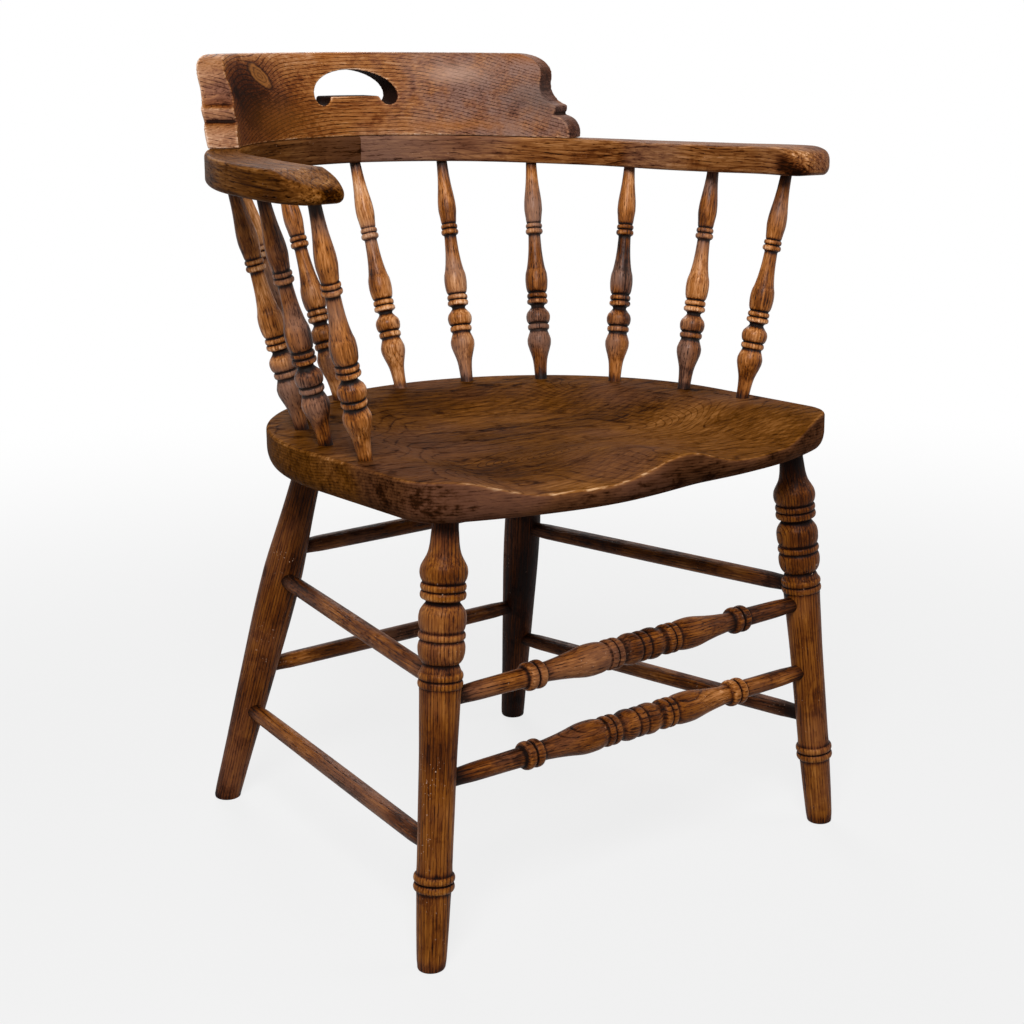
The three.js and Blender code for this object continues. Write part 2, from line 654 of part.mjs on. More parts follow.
// A half moon whose base dips into a round lobe at each end
function handHoldCutter() {
  const lobeX = handHoldHalfWidth - handHoldLobeRadius;
  const shape = new THREE.Shape();
  shape.moveTo(handHoldHalfWidth, handHoldBase);
  shape.absellipse(0, handHoldBase, handHoldHalfWidth, handHoldRise, 0, Math.PI, false, 0);
  shape.absarc(-lobeX, handHoldBase, handHoldLobeRadius, Math.PI, 2 * Math.PI, false);
  shape.absarc(lobeX, handHoldBase, handHoldLobeRadius, Math.PI, 2 * Math.PI, false);
  const depth = crestThickness + crestInnerLean + 2 * crestOuterLean;
  const geometry = new THREE.ExtrudeGeometry(shape, { depth, bevelEnabled: false, curveSegments: 10 });
  geometry.rotateX(Math.PI / 2);
  geometry.translate(0, bowCentreY + crestOuterRadius + 2 * crestOuterLean, bowThickness + clearance);
  return new THREE.Mesh(geometry);
}

const crest = addPiece(bow, 'crest_rail', crestPlank(), crestElm);
const crestCutters = [crestEndCutter(1, crestRightTrim), crestEndCutter(-1, 0), handHoldCutter()];

// Screws, made along +Y and stood upright in the bow's frame

function screwProfile(spare) {
  const length = bowThickness - screwRecess + clearance + screwBite;
  return [
    [spare ? -screwRecess - overrun : 0, screwHeadRadius + spare],
    [screwHeadHeight / 3, screwHeadRadius + spare],
    [screwHeadHeight, screwShankRadius + spare],
    [length + spare, screwShankRadius + spare],
  ];
}

const screwCutters = [];
for (const [sideName, side] of [['left', -1], ['right', 1]]) {
  screwStationShares.forEach((share, i) => {
    const { point, out } = bowLine(topLineLength * share);
    const place = point.addScaledVector(out, screwOffset);
    const head = new THREE.Vector3(place.x * side, place.y, screwRecess);
    const above = head.clone().setZ(bowThickness);
    const geometry = turned(screwProfile(0), screwSides);
    layAlong(addPiece(bow, `crest_screw_${sideName}_${i + 1}`, geometry, steel), head, above);
    const hole = new THREE.Mesh(turned(screwProfile(clearance), screwSides));
    screwCutters.push(layAlong(hole, head, above));
  });
}

// Cutters of the bow's own frame go into it, so that they are taken out where they stand
for (const cutter of [...crestCutters, ...screwCutters]) {
  cutter.applyMatrix4(bow.matrixWorld);
}
cut(crest, [...crestCutters, ...screwCutters]);
for (const arm of Object.values(arms)) {
  cut(arm, [...spindleTopSockets, ...screwCutters]);
}

// The origin is the middle of the chair's box, on the floor
const box = new THREE.Box3().setFromObject(chair, true);
chair.position.set(-(box.min.x + box.max.x) / 2, -(box.min.y + box.max.y) / 2, -box.min.z);

export default chair;
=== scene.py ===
from math import atan2, ceil, cos, degrees, exp, hypot, pi, radians, sin, sqrt

import bmesh
import bpy
import numpy as np
from mathutils import Matrix, Vector, kdtree

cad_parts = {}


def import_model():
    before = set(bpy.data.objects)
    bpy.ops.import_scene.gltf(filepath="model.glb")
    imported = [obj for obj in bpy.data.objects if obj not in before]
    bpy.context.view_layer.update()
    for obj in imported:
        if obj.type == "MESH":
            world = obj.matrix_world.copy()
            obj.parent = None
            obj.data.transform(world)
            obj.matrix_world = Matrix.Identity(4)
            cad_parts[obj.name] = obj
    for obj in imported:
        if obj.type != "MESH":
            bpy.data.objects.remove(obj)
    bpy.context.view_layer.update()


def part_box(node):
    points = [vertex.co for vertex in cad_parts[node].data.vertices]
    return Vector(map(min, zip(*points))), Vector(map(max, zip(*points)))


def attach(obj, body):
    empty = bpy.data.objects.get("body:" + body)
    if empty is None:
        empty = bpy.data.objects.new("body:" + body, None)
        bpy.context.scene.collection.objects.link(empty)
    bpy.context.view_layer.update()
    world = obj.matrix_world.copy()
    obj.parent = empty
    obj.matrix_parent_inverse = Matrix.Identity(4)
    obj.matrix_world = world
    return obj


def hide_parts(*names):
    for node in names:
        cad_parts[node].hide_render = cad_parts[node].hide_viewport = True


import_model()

scene = bpy.context.scene
mm = 0.001

# The chair is drawn in millimetres, with the floor at zero and the front towards -Y
seatLow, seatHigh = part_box("seat")
drawing = {
    "seatFront": -285,       # foremost point of the seat, which ties the drawing to the frame
    "seatTop": seatHigh.z / mm,
    "seatUnder": seatLow.z / mm,
    "seatHalfWidth": (seatHigh.x - seatLow.x) / 2 / mm,
    "bowHeight": 668.5,      # underside of the arm bow over the origin
    "bowPitch": 1.42,        # degrees, rising towards the back
    "bowThickness": 28,
}
toScene = Matrix.Translation((0, seatLow.y - drawing["seatFront"] * mm, 0)) @ Matrix.Scale(mm, 4)
bowFrame = (
    Matrix.Translation((0, 0, drawing["bowHeight"]))
    @ Matrix.Rotation(radians(drawing["bowPitch"]), 4, "X")
)
lookAcross = Vector((0.784, -0.620, 0))     # level, across the photograph's line of sight
sides = {"left": -1, "right": 1}


# Tools for shapes

def deselectAll():
    if bpy.context.object and bpy.context.object.mode != "OBJECT":
        bpy.ops.object.mode_set(mode="OBJECT")
    bpy.ops.object.select_all(action="DESELECT")


def pick(piece):
    deselectAll()
    piece.select_set(True)
    bpy.context.view_layer.objects.active = piece


def mix(low, high, share):
    return low + (high - low) * share


def ease(value, low, high):
    share = min(1, max(0, (value - low) / (high - low)))
    return share * share * (3 - 2 * share)


def raised(place, height):
    return Vector((place[0], place[1], height))


def mirrored(place, side):
    return Vector((place[0] * side, place[1], place[2]))


def arc(centre, radii, start, end, steps):
    angles = [radians(mix(start, end, i / steps)) for i in range(steps + 1)]
    (x, y), (wide, high) = centre, radii
    return [(x + wide * cos(angle), y + high * sin(angle)) for angle in angles]


def bead(start, end, foot, crown, steps=8):
    # a half round between two places along a turning
    turns = [pi * i / steps for i in range(steps + 1)]
    return [(mix(start, end, (1 - cos(turn)) / 2), mix(foot, crown, sin(turn))) for turn in turns]


def easedProfile(points, step):
    # a smooth line through the points of a turning that never runs past them
    spans = [b[0] - a[0] for a, b in zip(points, points[1:])]
    rises = [(b[1] - a[1]) / span for a, b, span in zip(points, points[1:], spans)]
    middle = [0 if p * q <= 0 else 2 * p * q / (p + q) for p, q in zip(rises, rises[1:])]
    slopes = [rises[0], *middle, rises[-1]]
    line = []
    for i, span in enumerate(spans):
        count = max(1, ceil(span / step))
        for share in [j / count for j in range(count)]:
            fall = (1 + 2 * share) * (1 - share) ** 2
            radius = fall * points[i][1] + (1 - fall) * points[i + 1][1]
            radius += span * share * (1 - share) ** 2 * slopes[i]
            radius -= span * share * share * (1 - share) * slopes[i + 1]
            line.append((points[i][0] + span * share, radius))
    return [*line, points[-1]]


def startSkin(name, count, radius, fill):
    deselectAll()
    bpy.ops.mesh.primitive_circle_add(vertices=count, radius=radius, fill_type=fill)
    piece = bpy.context.object
    piece.name = name
    bpy.ops.object.mode_set(mode="EDIT")
    bpy.ops.mesh.select_all(action="SELECT")
    return piece


def extrude(move, widen=None):
    bpy.ops.mesh.extrude_region_move(TRANSFORM_OT_translate={"value": move})
    if widen:
        bpy.ops.transform.resize(value=(widen, widen, 1))


def endSkin():
    bpy.ops.mesh.select_all(action="SELECT")
    bpy.ops.mesh.normals_make_consistent(inside=False)
    bpy.ops.object.mode_set(mode="OBJECT")


def turn(name, points, count, step=1.3, darkEnds=()):
    # a turning along +Z, drawn out ring by ring from a disc at its foot
    line = easedProfile(points, step)
    piece = startSkin(name, count, line[0][1], "NGON")
    bpy.ops.transform.translate(value=(0, 0, line[0][0]))
    for (place, radius), (nextPlace, nextRadius) in zip(line, line[1:]):
        extrude((0, 0, nextPlace - place), nextRadius / radius)
    endSkin()
    markTurned(piece, line, darkEnds)
    return piece


def growRings(name, rings, pole=False):
    # a skin drawn out ring by ring, closed at its start and, flat or to a pole, at its end
    piece = startSkin(name, len(rings[0]), 1, "NOTHING")
    mesh = bmesh.from_edit_mesh(piece.data)
    for vert, place in zip(mesh.verts, rings[0]):
        vert.co = place
    bpy.ops.mesh.edge_face_add()
    for last, ring in zip(rings, rings[1:]):
        extrude((0, 0, 0))
        mesh = bmesh.from_edit_mesh(piece.data)
        order = {tuple(round(x, 4) for x in place): i for i, place in enumerate(last)}
        for vert in [v for v in mesh.verts if v.select]:
            vert.co = ring[order[tuple(round(x, 4) for x in vert.co)]]
    if pole:
        bpy.ops.mesh.merge(type="CENTER")
    endSkin()
    return piece


def applyModifier(piece, kind, **settings):
    pick(piece)
    modifier = piece.modifiers.new(kind.title(), kind)
    for key, value in settings.items():
        setattr(modifier, key, value)
    bpy.ops.object.modifier_apply(modifier=modifier.name)


def cutOut(piece, cutter):
    applyModifier(piece, "BOOLEAN", object=cutter, operation="DIFFERENCE", solver="EXACT")
    bpy.data.objects.remove(cutter)


def copyOf(master, name):
    piece = master.copy()
    piece.data = master.data.copy()
    piece.name = name
    scene.collection.objects.link(piece)
    return piece


def setMark(piece, name, values, kind="FLOAT"):
    mark = piece.data.attributes.new(name, kind, "POINT")
    key = "vector" if kind == "FLOAT_VECTOR" else "value"
    mark.data.foreach_set(key, np.asarray(values, np.float32).ravel())


def addToMark(piece, name, more):
    mark = piece.data.attributes[name]
    values = np.zeros(len(mark.data), np.float32)
    mark.data.foreach_get("value", values)
    mark.data.foreach_set("value", (values + more).astype(np.float32))


def cornersOf(piece, kind="co"):
    # where each corner is, or its normal
    values = np.zeros(len(piece.data.vertices) * 3)
    piece.data.vertices.foreach_get(kind, values)
    return values.reshape(-1, 3)


def markGrain(piece, offset=(0, 0, 0), places=None):
    # where each point lies in the wood, in metres, with the fibres along the third axis
    places = cornersOf(piece) if places is None else np.asarray(places, float)
    setMark(piece, "grain", places * mm + np.array(offset), "FLOAT_VECTOR")


def turnedGrain(piece, start, end, across, twist, offset):
    # the rings of a turning stand square to one chosen direction, so that lines show on its face
    along = (end - start).normalized()
    side = (across - along * across.dot(along)).normalized()
    side.rotate(Matrix.Rotation(radians(twist), 3, along))
    toGrain = np.array([side, along.cross(side), along])
    toPlace = np.array(layAlong(start, end).to_3x3())
    markGrain(piece, offset, cornersOf(piece) @ toPlace.T @ toGrain.T)


def readBend(piece, spread):
    # how sharply the surface bends at each corner, smoothed over its neighbours
    corners = cornersOf(piece)
    normals = cornersOf(piece, "normal")
    ends = np.zeros(len(piece.data.edges) * 2, np.int64)
    piece.data.edges.foreach_get("vertices", ends)
    a, b = ends.reshape(-1, 2).T
    step = corners[b] - corners[a]
    bend = ((normals[b] - normals[a]) * step).sum(1) / np.maximum((step * step).sum(1), 1e-6)
    valence = np.maximum(np.bincount(np.append(a, b), minlength=len(corners)), 1)

    def gather(fromA, fromB):
        total = np.bincount(a, fromB, len(corners)) + np.bincount(b, fromA, len(corners))
        return total / valence
    bent = gather(bend, bend)
    for _ in range(spread):
        bent = bent / 2 + gather(bent[a], bent[b]) / 2
    return bent


def spotAt(corners, spots):
    # soft round spots: where, how wide, how strong
    total = np.zeros(len(corners))
    for place, width, amount in spots:
        away = ((corners - np.array(place)) ** 2).sum(1)
        total += amount * np.exp(-away / width ** 2)
    return total


def markBendsAndSpots(piece, bare=0.06, spread=3, paleSpots=(), darkSpots=()):
    # rounded-over edges turn pale and hollows dark, for wear and dirt and in part as painted highlight and
    # painted shade; pale and dark spots add to them
    bent = readBend(piece, spread)
    corners = cornersOf(piece)
    setMark(piece, "wearAndHighlight", np.clip((bent - bare) * 5, 0, 1) + spotAt(corners, paleSpots))
    setMark(piece, "dirtAndShade", np.clip(-bent * 6, 0, 1) + spotAt(corners, darkSpots))


def markTurned(piece, line, darkEnds=(), window=6.5):
    # grooves of a turning lie below its mean width and are darkened, for dirt and in part as painted shade;
    # crowns stand above it and are lightened, for wear and in part as painted highlight
    places, radii = np.array(line).T
    even = np.arange(places[0], places[-1], 0.5)
    width = np.interp(even, places, radii)
    reach = int(window * 2)
    bell = np.hanning(2 * reach + 1)
    mean = np.convolve(np.pad(width, reach, "edge"), bell / bell.sum(), "valid")
    along = cornersOf(piece)[:, 2]
    above = np.interp(along, even, width - mean)
    near = sum(amount * np.exp(-(((along - place) / width) ** 2)) for place, width, amount in darkEnds)
    setMark(piece, "wearAndHighlight", np.clip(above / 1.6 - 0.15, 0, 1))
    setMark(piece, "dirtAndShade", np.clip(-above / 1.5, 0, 1) + near)


def finishPiece(piece, node, material, matrix, angle=40):
    # the mesh goes to its place in metres, so that the object stays at the origin
    piece.data.transform(toScene @ matrix)
    pick(piece)
    bpy.ops.object.shade_smooth_by_angle(angle=radians(angle))
    piece.data.materials.clear()
    piece.data.materials.append(material)
    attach(piece, "root")
    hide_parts(node)


def layAlong(start, end, stretch=1):
    # carries a turning made along +Z to the line between two points
    turnTo = (end - start).to_track_quat("Z", "X").to_matrix().to_4x4()
    return Matrix.Translation(start) @ turnTo @ Matrix.Diagonal((1, 1, stretch, 1))


# Tools for finishes

class Wire:
    # a socket that sums can be written with
    def __init__(self, finish, socket):
        self.finish = finish
        self.socket = socket

    def __add__(self, other):
        return self.finish.math("ADD", self, other)

    def __radd__(self, other):
        return self.finish.math("ADD", other, self)

    def __sub__(self, other):
        return self.finish.math("SUBTRACT", self, other)

    def __rsub__(self, other):
        return self.finish.math("SUBTRACT", other, self)

    def __mul__(self, other):
        return self.finish.math("MULTIPLY", self, other)

    def __rmul__(self, other):
        return self.finish.math("MULTIPLY", other, self)

    def __truediv__(self, other):
        return self.finish.math("DIVIDE", self, other)

    def __rtruediv__(self, other):
        return self.finish.math("DIVIDE", other, self)


class Finish:
    def __init__(self, name, room=None):
        self.material = room or bpy.data.materials.new(name)
        self.material.use_nodes = True
        self.tree = self.material.node_tree
        self.tree.nodes.clear()

    def node(self, kind, settings=None, inputs=None, output=0):
        made = self.tree.nodes.new("ShaderNode" + kind)
        for key, value in (settings or {}).items():
            if key == "stops":
                for i, (place, tone) in enumerate(value):
                    stops = made.color_ramp.elements
                    stop = stops[i] if i < len(stops) else stops.new(place)
                    stop.position = place
                    stop.color = tone
            else:
                setattr(made, key, value)
        for key, value in (inputs or {}).items():
            if isinstance(value, Wire):
                self.tree.links.new(value.socket, made.inputs[key])
            else:
                made.inputs[key].default_value = value
        return Wire(self, made.outputs[output])

    def math(self, operation, first, second=0.0):
        return self.node("Math", {"operation": operation}, {0: first, 1: second})

    def mark(self, name, output="Fac"):
        return self.node("Attribute", {"attribute_name": name}, output=output)

    def axes(self, vector):
        split = self.node("SeparateXYZ", inputs={0: vector}).socket.node
        return [Wire(self, socket) for socket in split.outputs]

    def noise(self, vector, scale, detail=2.0, rough=0.5):
        return self.node("TexNoise", inputs={
            "Vector": vector, "Scale": scale, "Detail": detail, "Roughness": rough})

    def drawnOut(self, grain, across, along, detail=2.0, rough=0.5):
        # noise that changes so many times in a metre across the fibres and along them
        places = self.node("Mapping", inputs={"Vector": grain, "Scale": (across, across, along)})
        return self.noise(places, 1.0, detail, rough)

    def between(self, value, low, high, start=0.0, end=1.0):
        return self.node("MapRange", {"interpolation_type": "SMOOTHSTEP"}, {
            "Value": value, "From Min": low, "From Max": high, "To Min": start, "To Max": end})

    def tint(self, share, base, code):
        return self.node("Mix", {"data_type": "RGBA"}, {0: share, 6: base, 7: colour(code)}, output=2)

    def bump(self, height, depth, strength, under=None):
        inputs = {"Height": height, "Distance": depth, "Strength": strength}
        if under:
            inputs["Normal"] = under
        return self.node("Bump", inputs=inputs)

    def close(self, inputs):
        self.surface(self.node("BsdfPrincipled", inputs=inputs))
        return self.material

    def surface(self, shader, kind="OutputMaterial"):
        out = self.tree.nodes.new("ShaderNode" + kind)
        self.tree.links.new(shader.socket, out.inputs["Surface"])


def colour(code):
    # a screen colour such as 4a2f1b as the light that it stands for
    parts = [int(code[i:i + 2], 16) / 255 for i in (0, 2, 4)]
    return tuple(p / 12.92 if p <= 0.04045 else ((p + 0.055) / 1.055) ** 2.4 for p in parts) + (1,)


# Wood

# how strong its noise has to be before a mark starts to show, and before it shows in full
shows = {
    "line": (0.36, 0.6), "pore": (0.54, 0.64), "smudge": (0.53, 0.68), "haze": (0.46, 0.66),
    "speckled": (0.52, 0.66), "speck": (0.66, 0.72),
}


def woodFinish(name, look, ringField, bloomAndSheenField=None, paint=None):
    # every mark in the wood adds to or takes from one lightness, which a ramp then colours
    finish = Finish(name)
    noise, drawnOut, between = finish.noise, finish.drawnOut, finish.between
    grain, wearAndHighlight, dirtAndShade = finish.mark("grain", "Vector"), finish.mark("wearAndHighlight"), finish.mark("dirtAndShade")
    share = finish.math("FRACT", ringField(finish, grain))
    line = between(share, 0.0, look["lineWidth"], 1.0, 0.0) + between(share, 0.9, 1.0)
    line = line * between(drawnOut(grain, 90, 14), *shows["line"], look["faint"], 1.0)
    pores = between(drawnOut(grain, *look["pores"], 1.5), *shows["pore"]) * (line * 0.6 + 0.4)
    fibres = drawnOut(grain, *look["fibres"], 2.5, 0.6) - 0.5
    streaks = drawnOut(grain, look["streaks"], look["streaks"] / 12, 3.0)
    patches = drawnOut(grain, look["patches"], look["patches"] * 0.45, 3.0, 0.55) - 0.5
    smudge = between(noise(grain, look["smudgeScale"], 4.0, 0.65), *shows["smudge"])

    light = (streaks - 0.5) * look["streakDepth"] + fibres * look["fibreDepth"] + patches * look["patchDepth"]
    light = light + look["level"] - line * look["lineDepth"] - pores * look["poreDepth"]
    # pale edges and spots stand for wear and in part are a painted highlight; dark grooves and spots stand
    # for dirt and in part are painted shade
    light = light + wearAndHighlight * (streaks * 0.8 + fibres + 0.2) * look["wearAndHighlightGain"]
    light = light - dirtAndShade * look["dirtAndShadeGain"] - smudge * look["smudge"]
    stops = [(i / 5, colour(code)) for i, code in enumerate(look["tones"])]
    base = finish.node("ValToRGB", {"stops": stops}, {0: light})
    # the haze tint, which shows on the paler wood, is partly the grey bloom of old polish and partly a
    # painted sheen
    haze = between(noise(grain, look["hazeScale"]), *shows["haze"]) * look["haze"]
    if bloomAndSheenField:
        haze = bloomAndSheenField(finish, grain, haze)
    base = finish.tint(haze * between(light, 0.1, 0.45, 0.1, 1.0), base, look["hazeTone"])
    if paint:
        base = paint(finish, grain, base)
    if look["specks"]:    # flecks of old paint
        place = between(noise(grain, 26.0), *shows["speckled"])
        dots = between(noise(grain, 420.0, 2.0, 0.7), *shows["speck"])
        base = finish.tint(dots * place * look["specks"], base, "c9a58c")

    roughness = look["roughness"] + pores * 0.2 + smudge * 0.1 - wearAndHighlight * 0.06 + fibres * 0.15 + dirtAndShade * 0.4
    uneven = finish.bump(patches, 0.003, 0.3)
    ribs = finish.bump(fibres - line * 0.5, 0.0004, look["ribs"], uneven)
    return finish.close({
        "Base Color": base, "Roughness": roughness, "Specular IOR Level": look["shine"],
        "Normal": finish.bump(1.0 - pores, 0.0004, 0.8, ribs),
    })


def turnedRings(finish, grain):
    # the log's heart lies well to one side, so that straight lines run down the piece
    x, y, z = finish.axes(grain)
    waves = finish.drawnOut(grain, 22, 4) - 0.5
    across = x + waves * 0.012 + z * 0.006 + 0.06
    aside = y + waves * 0.02
    return finish.math("SQRT", across * across + aside * aside) / 0.0027


def bulge(finish, x, y, place, reach):
    # one at a place, falling softly to nothing around it
    offX = (x - place[0]) / reach[0]
    offY = (y - place[1]) / reach[1]
    return finish.math("EXPONENT", (offX * offX + offY * offY) * -1.0)


seatFigures = [    # place, reach, rise of the rings
    ((0.02, -0.15), (0.15, 0.03), 0.045), ((0.157, 0.045), (0.05, 0.04), 0.014),
    ((0.159, -0.18), (0.06, 0.03), 0.012),
]


def seatRings(finish, grain):
    # rings that lie nearly level in the plank, so that the dish cuts them into flames and ovals
    y, z, x = finish.axes(grain)
    swirl = finish.drawnOut(grain, 4.5, 3.15, 1.0) - 0.5
    ripple = finish.drawnOut(grain, 34, 20.4) - 0.5
    depth = z + y * 0.07 + x * 0.05 + swirl * 0.035 + ripple * 0.0035
    for place, reach, rise in seatFigures:
        depth = depth + bulge(finish, x, y, place, reach) * rise
    return depth / 0.0027


def armRings(finish, grain):
    # lines that run along the bow, wavy where the saw crossed them
    x, y, z = finish.axes(grain)
    waves = finish.drawnOut(grain, 14, 5) - 0.5
    across = x + waves * 0.02 + z * 0.03 + 0.05
    height = y + waves * 0.022 + z * 0.022
    return finish.math("SQRT", across * across * 0.3 + height * height) / 0.003


# a slanted oval: one step along it and one across it are its half sizes
knot = {
    "place": (-0.131, 0.762), "along": (17.0, -61.6), "across": (73.4, 79.2), "reach": (0.024, 0.024),
    "rise": 0.014,
}
crestPatches = [    # place, reach, tint, share: the pale first one is a painted highlight, amber where the polish has worn
    ((0.118, 0.762), (0.034, 0.010), "cfa890", 0.38), ((0.195, 0.785), (0.022, 0.014), "9c5a18", 0.65),
    ((0.120, 0.787), (0.060, 0.005), "5c300c", 0.6), ((0.100, 0.706), (0.060, 0.005), "a86830", 0.4),
    ((0.190, 0.735), (0.030, 0.016), "54443e", 0.6), ((-0.100, 0.715), (0.060, 0.02), "7c4a14", 0.4),
    ((-0.060, 0.785), (0.060, 0.01), "8c4c14", 0.5),
]


def crestRings(finish, grain):
    # lines along the rail that droop to its ends and part round a knot, and lie level across the sawn end
    y, z, x = finish.axes(grain)
    side = finish.mark("side")
    waves = finish.drawnOut(grain, 9, 5) - 0.5
    ripple = finish.drawnOut(grain, 50, 16) - 0.5
    droop = x * x * 0.5
    for offset, share in (
        (x * -1.0, 0.4), (x * -1.0 - 0.08, finish.between(z, 0.725, 0.775, 1.6, 0.5)), (x - 0.04, 1.6),
    ):
        past = finish.math("MAXIMUM", offset)
        droop = droop + past * past * share
    height = z + droop * (1.0 - side) + side * (x + 0.17) * 0.35
    height = height + (y - 0.25) * 0.2 + waves * 0.017 + ripple * 0.0022
    height = height + bulge(finish, x, z, knot["place"], knot["reach"]) * knot["rise"]
    return height / 0.0041


def paintCrest(finish, grain, base):
    between = finish.between
    y, z, x = finish.axes(grain)
    front = finish.mark("front")
    # colour patches on the inner face, of which the pale one is a painted highlight
    for place, reach, tone, share in crestPatches:
        base = finish.tint(bulge(finish, x, z, place, reach) * front * share, base, tone)
    offX = x - knot["place"][0]
    offZ = z - knot["place"][1]
    along = offX * knot["along"][0] + offZ * knot["along"][1]
    across = offX * knot["across"][0] + offZ * knot["across"][1]
    ragged = (finish.noise(grain, 130.0) - 0.5) * 0.5
    out = finish.math("SQRT", along * along + across * across) + ragged
    inside = between(out, 0.8, 1.0, 1.0, 0.0)
    rings = finish.math("FRACT", out * 3.2)
    rings = between(rings, 0.5, 0.8) * between(rings, 0.85, 1.0, 1.0, 0.0)
    base = finish.tint(inside * 0.65, base, "9a6230")
    base = finish.tint(inside * rings * 0.7, base, "2e1406")
    rim = between(out, 0.85, 0.98) * between(out, 1.02, 1.2, 1.0, 0.0)
    return finish.tint(rim * 0.8, base, "200a02")


def seatBloomAndSheen(finish, grain, haze):
    # haze is the grey bloom of old polish and in part a painted sheen, with more of it on the front face
    return haze + finish.mark("side") * 0.4


def crestBloomAndSheen(finish, grain, haze):
    x = finish.axes(grain)[2]
    # the mottled haze that grows towards the right of the inner face is a painted sheen
    mottledSheen = finish.between(finish.noise(grain, 40.0, 3.0, 0.6), 0.35, 0.65, 0.35, 1.0)
    mottledSheen = finish.between(x, -0.02, 0.14, 0.0, 0.7) * mottledSheen
    return haze * finish.between(x, -0.1, 0.02, 0.1, 0.45) + mottledSheen + finish.mark("side") * 0.35


def bowBloomAndSheen(finish, grain, haze):
    # bloom and painted sheen, strongest by the seam, where the distance along the bow starts at 0.7 m
    return haze * 0.4 + finish.between(finish.axes(grain)[2], 0.73, 0.92, 0.7, 0.0)


# how deep and how often each mark shows
oldWood = dict(
    tones=("0c0200", "2a1002", "552a0a", "7e4816", "a86e3c", "d8a478"), level=0.5,
    streaks=240, streakDepth=0.55, fibres=(560, 24), fibreDepth=0.8, patches=14.0, patchDepth=0.9,
    lineWidth=0.26, lineDepth=0.25, faint=0.3, pores=(750, 100), poreDepth=0.35, wearAndHighlightGain=0.5, dirtAndShadeGain=0.6,
    smudgeScale=38.0, smudge=0.14, hazeScale=8.0, haze=0.2, hazeTone="805a48", specks=0.0,
    roughness=0.42, ribs=0.5, shine=0.06,
)
seatLook = dict(
    oldWood, tones=("0e0400", "2a1100", "4a2804", "663c12", "88582a", "c49a70"), level=0.52,
    streaks=160, streakDepth=0.35, fibres=(240, 34), fibreDepth=0.7, patches=7.0, patchDepth=1.0,
    lineDepth=0.24, lineWidth=0.2, faint=0.5, pores=(360, 110), poreDepth=0.15, smudge=0.2,
    haze=0.35, hazeTone="5c3c30", shine=0.003, roughness=0.5, wearAndHighlightGain=0.6,
)
bowLook = dict(
    oldWood, tones=("120500", "361603", "643614", "8c5a2e", "b07e54", "d8ac88"), level=0.53,
    lineDepth=0.2, fibres=(480, 24), haze=0.8, hazeTone="705449", shine=0.03, specks=0.4,
)
darkBowLook = dict(
    oldWood, tones=("0e0400", "2c1200", "4e2a06", "70441a", "926434", "c4985e"), level=0.51,
    lineDepth=0.15, fibres=(420, 24), haze=0.7, hazeTone="503220", shine=0.004, specks=0.5,
)
crestLook = dict(
    oldWood, tones=("150500", "3c1600", "6c360c", "9a6230", "c29066", "e8c2a6"), level=0.6,
    lineDepth=0.45, lineWidth=0.2, faint=0.5, haze=0.95, hazeTone="80675f", streakDepth=0.3,
    patches=8.0, patchDepth=1.35, fibreDepth=0.55, poreDepth=0.3, shine=0.05,
)
turnedWood = dict(oldWood, streakDepth=0.4, fibreDepth=0.6)
spindleLook = dict(
    turnedWood, tones=("0e0300", "321302", "6a380e", "9c5f2a", "cb8f5c", "f0bf96"), level=0.55,
    patches=24.0, patchDepth=1.4, lineDepth=0.14, pores=(900, 100), haze=0.65, hazeTone="86685a",
    hazeScale=14.0, dirtAndShadeGain=1.1, shine=0.12, wearAndHighlightGain=0.85, roughness=0.36, ribs=0.3,
)
legLook = dict(
    turnedWood, tones=("0c0200", "2c0f01", "592c08", "7e4914", "a86e32", "d69e70"), level=0.525,
    patches=18.0, patchDepth=1.1, lineDepth=0.42, lineWidth=0.2, faint=0.45, poreDepth=0.25,
    specks=0.8, haze=0.4, hazeTone="6e4434", dirtAndShadeGain=0.8,
)
stretcherLook = dict(
    turnedWood, level=0.48, patches=24.0, patchDepth=1.2, haze=0.5, hazeTone="6e4c3c", specks=0.5,
    wearAndHighlightGain=0.65, dirtAndShadeGain=0.75,
)

seatWood = woodFinish("seatWood", seatLook, seatRings, seatBloomAndSheen)
bowWoods = {
    "left": woodFinish("bowWoodLeft", darkBowLook, armRings, bowBloomAndSheen),
    "right": woodFinish("bowWoodRight", bowLook, armRings, bowBloomAndSheen),
}
crestWood = woodFinish("crestWood", crestLook, crestRings, crestBloomAndSheen, paintCrest)
spindleWood = woodFinish("spindleWood", spindleLook, turnedRings)
legWood = woodFinish("legWood", legLook, turnedRings)
stretcherWood = woodFinish("stretcherWood", stretcherLook, turnedRings)
print("finishes made")


def screwFinish():
    finish = Finish("screwSteel")
    place = finish.node("TexCoord", output="Object")
    spots = finish.noise(place, 900.0, 4.0)
    rust = finish.between(finish.noise(place, 350.0, 3.0), 0.5, 0.62)
    base = finish.tint(rust, colour("5a5651"), "4a2c1a")
    return finish.close({
        "Base Color": base, "Metallic": 1.0 - rust * 0.7, "Roughness": spots * 0.3 + 0.3,
        "Normal": finish.bump(spots, 0.0002, 0.5),
    })


# Seat plank

seatSizes = {
    "backCentre": -62, "backReach": 249, "leftShoulder": 0.61, "rightShoulder": 0.555,
    "frontRadius": 570, "corner": 45, "edgeRound": 3.2, "backRound": 5, "sideCurve": 19, "frontCurve": 25,
    "sideUndercut": 12, "backUndercut": 8, "pommelUndercut": 23, "undercutX": 55, "undercutWidth": 90,
    "dishDepth": 18, "dishMargin": 53, "frontMargin": 12, "dishSlope": 95, "pommelWidth": 48,
    "pommelBack": -90, "outlineSteps": 128, "dishRings": 44,
    "darkSpots": [((-215, -60, 438), 30, 0.25), ((0, 150, 436), 60, 0.2)],
    "wornFront": (-215, 120),     # how far across its front arris the seat is rubbed
    "frontFrom": -150, "frontFade": 80, "frontDarkening": 0.3,
}


